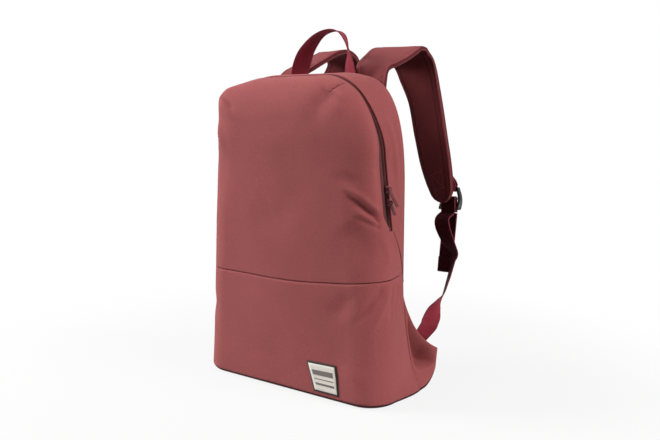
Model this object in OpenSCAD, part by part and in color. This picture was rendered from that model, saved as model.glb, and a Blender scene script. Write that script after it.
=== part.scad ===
// Slim travel backpack: a lofted fabric body with a zipped top flap, a front slit pocket,
// a laptop sleeve, padded shoulder straps and a haul handle. Sizes are in millimetres.
// Origin on the floor under the body, front towards -Y, up along +Z, +X to the viewer's right.

/* [Body] */
// Height of the body without handle and straps
body_h = 430; // [410:1:460]
// Width at the base
base_w = 314; // [300:1:330]
// Width between the lower ends of the main zip
waist_w = 284; // [272:1:296]
// Width where the top arch of the zip starts
shoulder_w = 262; // [252:1:272]
// Width of the straight stretch across the top
top_flat = 100; // [80:1:120]
// Depth from the main zip forward to the front panel
front_d = 48; // [42:1:56]
// Depth from the main zip back to the back panel
rear_d = 55; // [50:1:65]
// Distance of the main zip in front of the origin
zip_forward = 15; // [5:1:25]
// Thickness of a lined fabric wall
wall = 2.5; // [2:0.1:3.5]
// Radius of the front corners seen from above
corner_r = 42; // [34:1:48]
// Radius along the bottom edge
base_r = 10; // [6:1:14]
// Height at which the front starts to round over
crown_h = 372; // [360:1:385]
// How far the upper front corners stand out past the zip
corner_puff = 10; // [4:1:12]
// How far the side walls bulge between zip and back
side_bulge = 2; // [0:0.5:5]

/* [Back panel] */
// Width of the back panel
back_w = 260; // [240:1:266]
// Extra width of the back at the base, each side
back_flare = 24; // [12:1:26]
// Height up to which the back flares
flare_h = 155; // [130:1:180]
// Height at which the back starts to arch
back_arch_h = 266; // [250:1:280]
// Thickness of the outer back cloth
back_skin_t = 2; // [1.5:0.1:3]
// Thickness of the back foam
foam_t = 6; // [4:0.5:9]
// Thickness of the lining behind the foam
lining_t = 1; // [0.8:0.1:2]

/* [Laptop sleeve and base] */
// Space for the laptop
laptop_t = 20; // [14:1:25]
// Outside width of the sleeve
sleeve_w = 246; // [220:1:250]
// Height of the sleeve's top edge
sleeve_h = 290; // [250:1:310]
// Thickness of the sleeve's wall
sleeve_t = 2; // [1.5:0.1:3]
// Thickness of the base cloth
base_t = 2; // [1.5:0.1:3]
// Thickness of the base stiffener
board_t = 2; // [1.5:0.1:3]

/* [Front pocket and flap] */
// Height of the pocket slit at the middle
slit_h = 157; // [140:1:170]
// Rise of the slit towards the viewer's right
slit_rise = 9; // [0:1:12]
// Open gap of the slit
slit_gap = 1.5; // [1:0.1:2.5]
// Depth of the pocket bag below the slit
pocket_drop = 125; // [90:1:135]
// Height of the fold line of the top flap
fold_h = 335; // [325:1:350]
// Gap along the fold line
fold_gap = 0.8; // [0.5:0.1:1.5]

/* [Main zip] */
// Height of the lower ends of the main zip
zip_end_h = 228; // [215:1:240]
// Height at which the zip starts to arch
arch_h = 322; // [315:1:345]
// Drop of the side seam's low end, at the back, below the slit
seam_drop = 7; // [4:1:25]
// Half width of the zip groove between the panels
zip_gap = 4.2; // [4.1:0.1:5]
// Half width of the zip tape
tape_half = 6; // [5.5:0.1:6.5]
// Half width of the closed chain
chain_half = 2.8; // [2.2:0.1:3.2]
// Gap between the two halves of the chain
chain_gap = 1.2; // [1:0.1:1.6]
// Height of the chain on its tape
chain_t = 1.5; // [1.2:0.1:2]
// Thickness of the tape
tape_t = 1; // [0.6:0.1:1.4]

/* [Zip sliders] */
// Height of the upper slider above the zip's lower end
upper_slider_up = 54; // [50:1:62]
// Height of the lower slider above the zip's lower end
lower_slider_up = 37; // [34:1:39]
// Length of a slider
slider_l = 9; // [8:0.5:11]
// Width of a slider
slider_w = 7; // [6:0.1:7.2]
// Thickness of a slider's plates
slider_t = 1.4; // [1:0.1:1.8]
// Radius of the bar that carries the pull
bar_r = 0.8; // [0.6:0.1:1]
// Length of the upper pull
upper_pull_l = 26; // [20:1:28]
// Length of the lower pull
lower_pull_l = 18; // [14:1:20]
// Width of a pull
pull_w = 6; // [4:0.5:6.5]
// Thickness of a pull
pull_t = 1.2; // [1:0.1:1.6]
// Lean of the upper pull away from the zip, in degrees
upper_lean = 24; // [22:1:28]
// Lean of the lower pull away from the zip, in degrees
lower_lean = 18; // [16:1:20]

/* [Wings] */
// Height at which a wing leaves the back seam
wing_h = 130; // [120:1:140]
// Reach of a wing behind the back panel
wing_reach = 57; // [50:1:62]
// Height of the lower corner of a wing's tip
wing_tip_h = 19; // [15:1:25]
// Length of a wing's tip edge
wing_tip_l = 27; // [25:1:35]

/* [Straps] */
// Distance of the strap roots from the middle
root_x = 72; // [68:1:80]
// How far a strap stands out behind its root
strap_reach = 138; // [128:1:148]
// How far a strap's lower end hangs below its root
strap_drop = 180; // [170:1:190]
// How far a strap's lower end stands out to the side of its root
strap_spread = 67; // [57:1:77]
// Thickness of the padded strap
pad_t = 8; // [6:0.5:10]
// Thickness of the strap's outer and inner cloth
pad_skin_t = 1.2; // [0.8:0.1:1.6]
// Width of the strap at its root
root_w = 46; // [40:1:50]
// Greatest width of the strap
pad_w = 68; // [60:1:72]
// Width of the strap at its lower end
pad_end_w = 33; // [28:1:38]
// Width of the webbing
web_w = 25; // [20:1:26]
// Thickness of the webbing
web_t = 1.6; // [1.2:0.1:2]
// Gap between a fixed strap end and its moving part
swing_gap = 1; // [0.6:0.1:2]

/* [Buckles] */
// Length of a buckle
buckle_l = 30; // [28:1:34]
// Thickness of a buckle's frame
buckle_t = 4; // [3:0.5:5]
// Width of a buckle's side rails
rail_w = 4; // [3:0.5:5]
// Room at each side of the webbing in a buckle
web_play = 1; // [0.5:0.1:2]
// Radius of a buckle's bars
buckle_bar_r = 1.6; // [1.2:0.1:2]

/* [Handle and label] */
// Distance of the handle's legs from the middle
leg_x = 44; // [40:1:46]
// Height of the handle above the body
handle_h = 62; // [50:1:75]
// Distance of the handle's legs in front of the back seam
leg_setback = 4; // [2:1:8]
// How far the top of the handle leans back
handle_lean = 14; // [0:1:16]
// Toe-in of the handle's legs, in degrees
leg_toe = 20; // [15:1:40]
// Width of the label patch
label_w = 46; // [30:1:60]
// Height of the label patch
label_h = 40; // [25:1:50]
// Thickness of the label patch
label_t = 0.8; // [0.5:0.1:1.5]
// How far the label's lower left corner is set in
label_slant = 15; // [0:1:18]
// How far the label's lower right corner stands out
label_lean = 4; // [0:1:8]
// Distance of the label's middle from the middle of the front
label_x = 67; // [40:1:80]
// Distance of the label's lower edge above the rounded bottom edge
label_up = 2; // [1:1:30]

/* [Hidden] */
zip_y = -zip_forward;
front_y = zip_y - front_d;
back_y = zip_y + rear_d;
front_rim_y = zip_y - zip_gap;
rear_rim_y = zip_y + zip_gap;
back_in_y = back_y - back_skin_t - foam_t - lining_t;
sleeve_y = back_in_y - laptop_t;
seam_low_h = slit_h - seam_drop;
flap_low = fold_h + fold_gap / 2;
upper_slider_h = zip_end_h + upper_slider_up;
lower_slider_h = zip_end_h + lower_slider_up;
seam_gap = 0.1;
touch = 0.05;
part_gap = 0.3;
back_round = 2.7;
zip_round = 2;
board_gap = 2;
puff_low_h = 200;
puff_rise = 180;
$fn = 48;

cloth = [0.55, 0.31, 0.31];
dark_cloth = [0.25, 0.09, 0.1];
webbing_red = [0.4, 0.13, 0.17];
zip_mauve = [0.53, 0.38, 0.39];
black = [0.08, 0.03, 0.04];
label_cream = [0.82, 0.8, 0.76];
foam_grey = [0.5, 0.48, 0.47];

// General helpers
function lerp(a, b, t) = a + (b - a) * t;
function unit(v) = v / norm(v);
function clamp01(t) = min(1, max(0, t));
function ease(t) = let (s = clamp01(t)) s * s * (3 - 2 * s);
function pw(v, e) = v <= 0 ? 0 : pow(v, e);

// Smooth curve through the points of a list, t counts the points
function along(list, t) =
    let (last = len(list) - 1)
    let (k = min(last - 1, max(0, floor(t))))
    let (f = t - k)
    let (p0 = list[max(0, k - 1)], p1 = list[k], p2 = list[k + 1], p3 = list[min(last, k + 2)])
    0.5 * (2 * p1 + (p2 - p0) * f + (2 * p0 - 5 * p1 + 4 * p2 - p3) * f * f
        + (3 * p1 - p0 - 3 * p2 + p3) * f * f * f);

// Closed solid between two grids of points of one size
function sheet_faces(rows, cols) =
    let (n = rows * cols)
    concat(
        [for (r = [0 : rows - 2], c = [0 : cols - 2])
            let (a = r * cols + c, b = a + 1, e = a + cols + 1, d = a + cols)
            each 2 * c < cols - 1
                ? [[a, d, e], [a, e, b], [a + n, e + n, d + n], [a + n, b + n, e + n]]
                : [[a, d, b], [b, d, e], [a + n, b + n, d + n], [b + n, e + n, d + n]]],
        [for (c = [0 : cols - 2])
            let (a = c, b = c + 1, g = (rows - 1) * cols + c, h = g + 1)
            each [[a, b, b + n], [a, b + n, a + n], [h, g, g + n], [h, g + n, h + n]]],
        [for (r = [0 : rows - 2])
            let (a = r * cols, d = a + cols, b = a + cols - 1, e = b + cols)
            each [[d, a, a + n], [d, a + n, d + n], [b, e, e + n], [b, e + n, b + n]]]
    );

module sheet(outer, inner) {
    polyhedron(
        points = concat([for (row = outer) each row], [for (row = inner) each row]),
        faces = sheet_faces(len(outer), len(outer[0]))
    );
}

// Closed solid through a list of rings of one size
module sweep(rings) {
    n = len(rings[0]);
    m = len(rings);
    polyhedron(
        points = [for (ring = rings) each ring],
        faces = concat(
            [[for (j = [0 : n - 1]) j]],
            [for (k = [0 : m - 2], j = [0 : n - 1])
                let (a = k * n + j, b = k * n + (j + 1) % n)
                each 2 * j < n ? [[a, a + n, b + n], [a, b + n, b]] : [[a, a + n, b], [b, a + n, b + n]]],
            [[for (j = [n - 1 : -1 : 0]) (m - 1) * n + j]]
        )
    );
}

// Frame of a flat strip: centre, tangent, width direction, face normal
function strip_frame(route, t) =
    let (step = 0.02, last = len(route[0]) - 1)
    let (p = along(route[0], t))
    let (g = unit(along(route[0], min(last, t + step)) - along(route[0], max(0, t - step))))
    let (s = along(route[1], t))
    let (w = unit(s - (s * g) * g))
    [p, g, w, cross(g, w)];

function strip_ring(route, t, lo, hi) =
    let (f = strip_frame(route, t), h = along(route[2], t) / 2)
    [f[0] - h * f[2] + lo * f[3], f[0] + h * f[2] + lo * f[3],
     f[0] + h * f[2] + hi * f[3], f[0] - h * f[2] + hi * f[3]];

// Shift of each corner of a ring along the strip that brings it onto a plane [point, normal]
function end_shift(route, t, lo, hi, plane) =
    plane == undef ? [0, 0, 0, 0]
    : let (g = strip_frame(route, t)[1])
      [for (p = strip_ring(route, t, lo, hi)) ((plane[0] - p) * plane[1]) / (g * plane[1])];

// Rings of a strip from t0 to t1; an end with a plane is cut by it, and the rings next to it follow
cut_fade = 4;

function strip_rings(route, t0, t1, lo, hi, count, start_plane = undef, end_plane = undef) =
    let (start = end_shift(route, t0, lo, hi, start_plane), end = end_shift(route, t1, lo, hi, end_plane))
    [for (k = [0 : count])
        let (t = lerp(t0, t1, k / count), ring = strip_ring(route, t, lo, hi))
        let (g = strip_frame(route, t)[1])
        let (shift = start * max(0, 1 - k / cut_fade) + end * max(0, 1 - (count - k) / cut_fade))
        [for (j = [0 : 3]) ring[j] + g * shift[j]]];

module mirrored(left) {
    if (left) mirror([1, 0, 0]) children();
    else children();
}

// Outline of the body
// Each function takes an inset i, measured inwards from the outer face.
arch_a = (shoulder_w - top_flat) / 2;
arch_b = body_h - arch_h;

function base_inset(z) = z >= base_r ? 0 : base_r - sqrt(base_r * base_r - pow(base_r - z, 2));

function zip_half(z, i) =
    z <= zip_end_h ? lerp(base_w, waist_w, z / zip_end_h) / 2 - i
    : z <= arch_h ? lerp(waist_w, shoulder_w, (z - zip_end_h) / (arch_h - zip_end_h)) / 2 - i
    : top_flat / 2 + (arch_a - i)
        * pw(1 - pow((z - arch_h) / (arch_b - i), zip_round), 1 / zip_round);

function back_half(z, i) =
    z <= flare_h ? back_w / 2 + back_flare * pow(1 - z / flare_h, 2) - i
    : z <= back_arch_h ? back_w / 2 - i
    : top_flat / 2 + (back_w / 2 - top_flat / 2 - i)
        * pw(1 - pow((z - back_arch_h) / (body_h - back_arch_h - i), back_round), 1 / back_round);

function crown(z, i) =
    z <= crown_h ? 1 : pw(1 - pow((z - crown_h) / (body_h - i - crown_h), 2), 0.5);

// Point of the wall at height z: u is 0 at the middle of the front, 1 at the zip, 2 at the back
function wall_point(z, u, i) =
    let (side = u < 0 ? -1 : 1, a = abs(u), foot = base_inset(z))
    let (half = zip_half(z, i) - foot, depth = (front_d - zip_gap - i - foot) * crown(z, i))
    let (r = corner_r - i - foot, q = 180 * (a - 0.5))
    let (puff = corner_puff * ease((z - puff_low_h) / puff_rise) * crown(z, i))
    a <= 0.5 ? [side * (half - r) * 2 * a, front_rim_y - depth, z]
    : a <= 1 ? [side * (half - r + r * sin(q) + puff * sin(2 * q)), front_rim_y - depth * cos(q), z]
    : [side * (lerp(half, back_half(z, i + foot), a - 1) + side_bulge * sin(180 * (a - 1))),
       lerp(front_rim_y, back_y, a - 1), z];

// Columns of a panel, closer together round the corners
corner_cols = [0.5, 0.58, 0.67, 0.75, 0.83, 0.92, 1];
flat_cols = [-0.25, 0, 0.25];
front_cols = concat([for (k = [len(corner_cols) - 1 : -1 : 0]) -corner_cols[k]], flat_cols, corner_cols);
wrap_cols = concat([-2, -1.67, -1.33], front_cols, [1.33, 1.67, 2]);

// Height of the slit at a column
function slit_z(u) = slit_h + slit_rise * ease(u / 0.8);

// Width of the strip behind the zip line that a panel keeps at height z, as a share of the rear depth
zip_lip = 0.004;

function rear_share(z) =
    z > zip_end_h + seam_gap / 2 ? zip_lip
    : let (f = clamp01((z - seam_low_h) / (zip_end_h - seam_low_h)))
      (lerp(back_y, rear_rim_y, f) - front_rim_y) / (back_y - front_rim_y);

function edge_col(u, z) = abs(u) <= 1 ? u : sign(u) * (1 + (abs(u) - 1) * rear_share(z));

// Lower front wall, the outside of the pocket, from the floor to the slit
foot_rows = [for (a = [0 : 22.5 : 90]) base_r * (1 - cos(a))];
lower_rows = [0.1, 0.35, 0.6, 0.8, 1];

function lower_z(k, u) =
    k < len(foot_rows) ? foot_rows[k]
    : k < len(foot_rows) + len(lower_rows) ? lerp(base_r, seam_low_h, lower_rows[k - len(foot_rows)])
    : slit_z(u) - slit_gap / 2;

function lower_grid(i) =
    [for (k = [0 : len(foot_rows) + len(lower_rows)])
        [for (u = wrap_cols)
            let (z = lower_z(k, u))
            wall_point(z, edge_col(u, z), i)]];

module lower_front_panel() {
    color(cloth) sheet(lower_grid(0), lower_grid(wall));
}

// Middle front wall, from the slit to the fold of the flap, closed at the side seams and zip
seam_rows = [0.25, 0.5, 0.75, 1];
zip_rows = [0, 0.25, 0.5, 0.75, 1];

function middle_z(k, u) =
    k == 0 ? slit_z(u) + slit_gap / 2
    : k <= len(seam_rows) ? lerp(slit_z(u) + slit_gap / 2, zip_end_h, seam_rows[k - 1])
    : lerp(zip_end_h + stop_gap, fold_h - fold_gap / 2, zip_rows[k - len(seam_rows) - 1]);

function middle_grid(i) =
    [for (k = [0 : len(seam_rows) + len(zip_rows)])
        [for (u = wrap_cols)
            let (z = middle_z(k, u))
            wall_point(z, edge_col(u, z), i)]];

module middle_front_panel() {
    color(cloth) sheet(middle_grid(0), middle_grid(wall));
}

// Top flap of the front wall: its edge rounds over evenly along the arch, its middle is flat
flap_shares = [1, 0.75, 0.4];
flap_turns = [0, 15, 30, 45, 60, 75, 90];
flap_core = 20;

// Point of the arch with its own insets to the side and at the top, k from the low end to the top
function arch_point(k, side_i, top_i, low) =
    let (a0 = low <= arch_h ? 0 : asin(pow((low - arch_h) / (arch_b - top_i), zip_round / 2)))
    k <= gusset_rise ? let (z = lerp(low, max(low, arch_h), k / gusset_rise)) arch_side(z, side_i, top_i)
    : let (a = lerp(a0, 90, (k - gusset_rise) / gusset_turn))
      [top_flat / 2 + (arch_a - side_i) * pw(cos(a), 2 / zip_round),
       arch_h + (arch_b - top_i) * pw(sin(a), 2 / zip_round)];

function arch_side(z, side_i, top_i) =
    z <= arch_h ? [zip_half(z, side_i), z]
    : let (rise = pow((z - arch_h) / (arch_b - top_i), zip_round))
      [top_flat / 2 + (arch_a - side_i) * pw(1 - rise, 1 / zip_round), z];

function flap_point(key, q, i) =
    let (e = 1 - sin(q), rim = arch_point(key[1], 0, 0, flap_low))
    let (p = arch_point(key[1], lerp(i, corner_r, e), lerp(i, body_h - crown_h, e), flap_low))
    let (puff = corner_puff * ease((p[1] - puff_low_h) / puff_rise) * (rim[0] - top_flat / 2) / arch_a)
    [key[0] * (p[0] + puff * sin(2 * q)), front_rim_y - (front_d - zip_gap - i) * cos(q), p[1]];

function flap_grid(i) =
    let (keys = arch_keys(flap_low), n = len(keys) - 1)
    concat(
        [for (f = flap_shares)
            [for (k = [0 : n])
                let (core = [lerp(-flap_core, flap_core, k / n), front_y + i, flap_low])
                lerp(flap_point(keys[k], 0, i), core, f)]],
        [for (q = flap_turns) [for (key = keys) flap_point(key, q, i)]]
    );

module front_flap_panel() {
    color(cloth) sheet(flap_grid(0), flap_grid(wall));
}

// Gusset: the arch between the zip and the back panel
gusset_rise = 5;
gusset_turn = 10;

// Right half of the back seam, k from the low end to the top
function back_line(k, i) =
    k <= gusset_rise ? let (z = lerp(seam_low_h, back_arch_h, k / gusset_rise)) [back_half(z, i), z]
    : let (a = 90 * (k - gusset_rise) / gusset_turn)
      [top_flat / 2 + (back_w / 2 - top_flat / 2 - i) * pw(cos(a), 2 / back_round),
       back_arch_h + (body_h - back_arch_h - i) * pw(sin(a), 2 / back_round)];

arch_steps = gusset_rise + gusset_turn;

// Sides and steps of a line over the arch that starts at a height on the left and ends there on the right
function arch_keys(low) =
    let (first = low < arch_h ? 0 : gusset_rise)
    concat([for (k = [first : arch_steps]) [-1, k]], [for (k = [arch_steps : -1 : first]) [1, k]]);

function gusset_point(key, f, i) =
    let (a = arch_point(key[1], i, i, zip_end_h + seam_gap), b = back_line(key[1], i))
    let (out = unit([b[1] < arch_h ? 1 : a[0] - top_flat / 2 + 1, max(0, a[1] - arch_h)]))
    let (p = lerp(a, b, f) + out * side_bulge * sin(180 * f))
    [key[0] * p[0], lerp(rear_rim_y, back_y, f), p[1] + seam_gap];

gusset_rows = [0, 0.33, 0.67, 1];

function gusset_grid(i) =
    [for (f = gusset_rows) [for (key = arch_keys(zip_end_h)) gusset_point(key, f, i)]];

module gusset() {
    color(cloth) sheet(gusset_grid(0), gusset_grid(wall));
}

// Back panel: outer cloth, foam and lining, cut to one outline
function back_outline(i) =
    let (low = [for (z = [0 : 30 : 120]) [back_half(z, i + base_inset(z)), z]])
    let (right = concat(low, [for (k = [0 : arch_steps]) back_line(k, i)]))
    concat(right, [for (k = [len(right) - 1 : -1 : 0]) [-right[k][0], right[k][1]]]);

module back_layer(y, t, i) {
    translate([0, y + t, 0])
        rotate([90, 0, 0])
            linear_extrude(t) polygon(back_outline(i));
}

module back_panel() {
    color(cloth) back_layer(back_y - back_skin_t, back_skin_t, wall + part_gap);
}

module back_foam() {
    color(foam_grey) back_layer(back_y - back_skin_t - foam_t, foam_t, wall + part_gap);
}

module back_lining() {
    color(dark_cloth) back_layer(back_in_y, lining_t, wall + part_gap);
}

// Base: outer cloth and stiffener, inside the foot of the walls and in front of the back
function base_outline(i) =
    let (rim = [for (u = wrap_cols) wall_point(0, u, i)])
    let (kept = [for (p = rim) if (p[1] < back_in_y - touch) [p[0], p[1]]])
    concat(kept, [[-kept[0][0], back_in_y - touch], [kept[0][0], back_in_y - touch]]);

module base_panel() {
    color(cloth) linear_extrude(base_t) polygon(base_outline(wall + touch));
}

module base_board() {
    color(black)
        translate([0, 0, base_t])
            linear_extrude(board_t) polygon(base_outline(wall + board_gap));
}

// Laptop sleeve: an open-topped tray sewn to the lining
module laptop_sleeve() {
    floor_z = base_t + board_t;
    tall = sleeve_h - floor_z;
    color(dark_cloth)
        difference() {
            translate([-sleeve_w / 2, sleeve_y - sleeve_t, floor_z])
                cube([sleeve_w, laptop_t + sleeve_t, tall]);
            translate([-sleeve_w / 2 + sleeve_t, sleeve_y, floor_z + sleeve_t])
                cube([sleeve_w - 2 * sleeve_t, laptop_t + sleeve_t, tall]);
        }
}

// Pocket bag: the lining of the front pocket, lying flat behind the lower wall
lining_gap = 0.2;
pocket_half = zip_half(slit_h, wall) - corner_r;
pocket_cols = [for (k = [-4 : 4]) k / 4 * pocket_half];
pocket_rows = [0, 0.5, 1];

function pocket_grid(i) =
    [for (f = pocket_rows)
        [for (x = pocket_cols) [x, front_y + i, lerp(slit_h - pocket_drop, slit_h - slit_gap, f)]]];

module pocket_bag() {
    color(dark_cloth) sheet(pocket_grid(wall + lining_gap), pocket_grid(wall + lining_gap + lining_t));
}

// Main zip: bands along the zip line between two insets and two distances from its middle
tape_gap = 0.7;
tape_top = wall + tape_gap;
chain_top = tape_top - chain_t;

function band_ring(p, q, side, y0, y1) =
    [for (e = [[p, y0], [q, y0], [q, y1], [p, y1]]) [side * e[0][0], e[1], e[0][1]]];

module arch_band(low, i0, i1, y0, y1) {
    sweep([for (key = arch_keys(low))
        band_ring(arch_point(key[1], i0, i0, low), arch_point(key[1], i1, i1, low), key[0], y0, y1)]);
}

module side_band(low, high, i0, i1, y0, y1) {
    heights = concat([high], arch_h < high - touch ? [arch_h] : [], [low]);
    for (left = [true, false])
        mirrored(left)
            sweep([for (z = heights)
                band_ring([zip_half(z, i0), z], [zip_half(z, i1), z], 1, y0, y1)]);
}

stop_gap = 1;
stop_l = 4;
zip_low = zip_end_h + stop_gap + stop_l;
side_zip_high = fold_h - fold_gap / 2;
tape_low = tape_top + tape_t;
edge_y = chain_gap / 2;

module main_zip_tape_rear() {
    color(dark_cloth) arch_band(zip_low, tape_top, tape_low, zip_y + edge_y, zip_y + tape_half);
}

module main_zip_teeth_rear() {
    color(zip_mauve) arch_band(zip_low, chain_top, tape_top, zip_y + edge_y, zip_y + chain_half);
}

module main_zip_tape_front() {
    color(dark_cloth) arch_band(flap_low, tape_top, tape_low, zip_y - tape_half, zip_y - edge_y);
}

module main_zip_teeth_front() {
    color(zip_mauve) arch_band(flap_low, chain_top, tape_top, zip_y - chain_half, zip_y - edge_y);
}

module side_zip_tapes() {
    color(dark_cloth)
        side_band(zip_low, side_zip_high, tape_top, tape_low, zip_y - tape_half, zip_y - edge_y);
}

module side_zip_teeth() {
    color(zip_mauve)
        side_band(zip_low, side_zip_high, chain_top, tape_top, zip_y - chain_half, zip_y - edge_y);
}

module zip_stops() {
    color(zip_mauve)
        side_band(zip_end_h + stop_gap, zip_low - touch, chain_top, tape_low,
            zip_y - chain_half, zip_y + chain_half);
}

// Zip sliders: local X points out of the zip, local Z up along it
zip_lean = atan((waist_w - shoulder_w) / 2 / (arch_h - zip_end_h));
plate_low = -chain_top + part_gap;
cheek_t = 1;
eye_wall = 0.8;
eye_r = bar_r + part_gap + eye_wall;
bar_x = plate_low + slider_t + eye_r + part_gap;
eye_w = slider_w - 2 * cheek_t - 2 * part_gap;
hole_share = 0.4;

module at_zip(z) {
    translate([zip_half(z, 0), zip_y, z])
        rotate([0, -zip_lean, 0]) children();
}

module slider() {
    under = -tape_low - part_gap - slider_t;
    neck_w = chain_gap - 2 * part_gap;
    translate([plate_low, -slider_w / 2, -slider_l / 2])
        cube([slider_t, slider_w, slider_l]);
    translate([under, -slider_w / 2, -slider_l / 2])
        cube([slider_t, slider_w, slider_l]);
    translate([under, -neck_w / 2, -slider_l / 4])
        cube([plate_low - under + slider_t / 2, neck_w, slider_l / 2]);
    cheek_low = plate_low + slider_t / 2;
    for (side = [-1, 1])
        translate([cheek_low, side * (slider_w - cheek_t) / 2 - cheek_t / 2, -slider_l / 4])
            cube([bar_x + eye_r - cheek_low, cheek_t, slider_l / 2]);
    translate([bar_x, slider_w / 2 - cheek_t / 2, 0])
        rotate([90, 0, 0])
            cylinder(r = bar_r, h = slider_w - cheek_t);
}

// Flat pull hung on the bar by an eye, with a hole near its rounded tip
module pull(tongue_l, lean) {
    tip = pull_w / 2;
    translate([bar_x, 0, 0])
        rotate([0, -lean, 0]) {
            difference() {
                union() {
                    translate([0, eye_w / 2, 0])
                        rotate([90, 0, 0])
                            cylinder(r = eye_r, h = eye_w);
                    translate([-pull_t / 2, -eye_w / 2, -slider_l / 2 - tip])
                        cube([pull_t, eye_w, slider_l / 2 + tip]);
                }
                translate([0, slider_w / 2, 0])
                    rotate([90, 0, 0])
                        cylinder(r = bar_r + part_gap, h = slider_w);
            }
            translate([pull_t / 2, 0, 0])
                rotate([0, -90, 0])
                    linear_extrude(pull_t)
                        difference() {
                            union() {
                                translate([-tongue_l + tip, -pull_w / 2])
                                    square([tongue_l - tip - slider_l / 2 - touch, pull_w]);
                                translate([-tongue_l + tip, 0]) circle(tip);
                            }
                            translate([-tongue_l + tip, 0]) circle(tip * hole_share);
                        }
        }
}

module upper_slider() {
    color(zip_mauve) at_zip(upper_slider_h) slider();
}

module lower_slider() {
    color(zip_mauve) at_zip(lower_slider_h) slider();
}

module upper_pull() {
    color(zip_mauve) at_zip(upper_slider_h) pull(upper_pull_l, upper_lean);
}

module lower_pull() {
    color(zip_mauve) at_zip(lower_slider_h) pull(lower_pull_l, lower_lean);
}

// Wings: the cloth triangles that carry the lower webbing
wing_low = 0.5;
wing_back = 5;
wing_curl = 0.6;
wing_bow = [7, 8];
wing_rows = [0, 0.2, 0.4, 0.6, 0.8, 1];
wing_steps = [0, 0.2, 0.4, 0.6, 0.8, 1];

function bend(a, m, b, t) = lerp(lerp(a, m, t), lerp(m, b, t), t);

function wing_root(z, i) = [back_half(z, i + base_inset(z)), back_y + touch, z];

// Lower and upper edge of a wing, from the back seam to the tip
function wing_lower(f, i) =
    let (a = wing_root(wing_low, i), tip = [back_half(0, i), back_y + wing_reach - wing_back, wing_tip_h])
    bend(a, [tip[0], back_y + wing_curl * wing_reach, wing_low], tip, f);

function wing_upper(f, i) =
    let (a = wing_root(wing_h, i), tip = [back_half(0, i), back_y + wing_reach, wing_tip_h + wing_tip_l])
    bend(a, [a[0] + wing_bow[0], back_y + wing_bow[1], wing_h / 2], tip, f);

function wing_point(a, f, i) =
    let (z = lerp(wing_low, wing_h, a), flat = lerp(wing_lower(0, i), wing_upper(0, i), a))
    lerp(wing_lower(f, i), wing_upper(f, i), a) + (1 - f) * (wing_root(z, i) - flat);

function wing_grid(i) = [for (a = wing_rows) [for (f = wing_steps) wing_point(a, f, i)]];

module wing(left) {
    color(cloth) mirrored(left) sheet(wing_grid(0), wing_grid(wall));
}

module left_wing() { wing(true); }

module right_wing() { wing(false); }

// Shoulder straps
// Routes hold points, width directions and widths.
strap_root = [root_x, back_y + pad_t / 2 + touch, body_h];
root_cut = 2.1;
anchor_place = 0.72;
wing_anchor = wing_upper(anchor_place, wall / 2);
wing_edge = unit(wing_upper(anchor_place + 0.1, wall / 2) - wing_upper(anchor_place - 0.1, wall / 2));
wing_up = unit([0, 0, 1] - wing_edge[2] * wing_edge);
anchor_l = 16;
anchor_sewn = 8;

// Strap in shares of its spread, reach and drop from the root, turn in degrees, share of the pad's width
strap_shape = [
    [0, 0, -0.17, 0, 0], [0, 0.02, -0.05, 0, 0], [-0.04, 0.08, 0.03, 5, 0.37], [-0.11, 0.2, 0.085, 14, 0.7],
    [-0.13, 0.4, 0.15, 21, 0.9], [-0.16, 0.6, 0.21, 24, 1], [-0.19, 0.76, 0.23, 22, 1],
    [-0.17, 0.91, 0.19, 14, 0.97], [-0.07, 1, 0.09, 1, 0.85], [0.23, 0.92, -0.13, -8, 0.66],
    [0.52, 0.81, -0.43, -8, 0.6], [0.68, 0.77, -0.63, -9, 0.56], [0.88, 0.72, -0.84, -14, 0.38],
    [1, 0.71, -1, -16, 0]
];
strap_route = [
    [for (s = strap_shape) strap_root + [s[0] * strap_spread, s[1] * strap_reach, s[2] * strap_drop]],
    [for (s = strap_shape) [cos(s[3]), sin(s[3]), 0]],
    [for (k = [0 : len(strap_shape) - 1]) k <= root_cut ? root_w : lerp(pad_end_w, pad_w, strap_shape[k][4])]
];
pad_last = len(strap_route[0]) - 1;
pad_steps = 34;

swing_axis = unit(wing_anchor - strap_root);
root_plane = [along(strap_route[0], root_cut), swing_axis];

module strap_layer(left, lo, hi) {
    mirrored(left)
        sweep(strip_rings(strap_route, root_cut, pad_last, lo, hi, pad_steps,
            [root_plane[0] - swing_axis * swing_gap, swing_axis]));
}

module strap_root_piece(left) {
    color(cloth)
        mirrored(left)
            sweep(strip_rings(strap_route, 0, root_cut, -pad_t / 2, pad_t / 2, 8, undef, root_plane));
}

module left_strap_root() { strap_root_piece(true); }

module right_strap_root() { strap_root_piece(false); }

module strap_cover(left) {
    color(cloth) strap_layer(left, -pad_t / 2, -pad_t / 2 + pad_skin_t);
}

module strap_foam(left) {
    color(foam_grey) strap_layer(left, -pad_t / 2 + pad_skin_t + touch, pad_t / 2 - pad_skin_t - touch);
}

module strap_lining(left) {
    color(dark_cloth) strap_layer(left, pad_t / 2 - pad_skin_t, pad_t / 2);
}

module left_strap_cover() { strap_cover(true); }

module right_strap_cover() { strap_cover(false); }

module left_strap_foam() { strap_foam(true); }

module right_strap_foam() { strap_foam(false); }

module left_strap_lining() { strap_lining(true); }

module right_strap_lining() { strap_lining(false); }

// Ladder buckle behind the lower end of the strap, hung on a keeper of folded webbing
buckle_back = 15;
buckle_up = 18;
buckle_top = strap_route[0][pad_last] + [0, buckle_back, buckle_up];
buckle_down = unit([0.05, -0.03, -1]);
buckle_across = unit(cross(cross(buckle_down, [0.98, -0.15, 0.1]), buckle_down));
buckle_face = cross(buckle_down, buckle_across);
buckle_w = web_w + 2 * web_play + 2 * rail_w;
bar_step = (buckle_l - 2 * buckle_bar_r) / 2;

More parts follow.
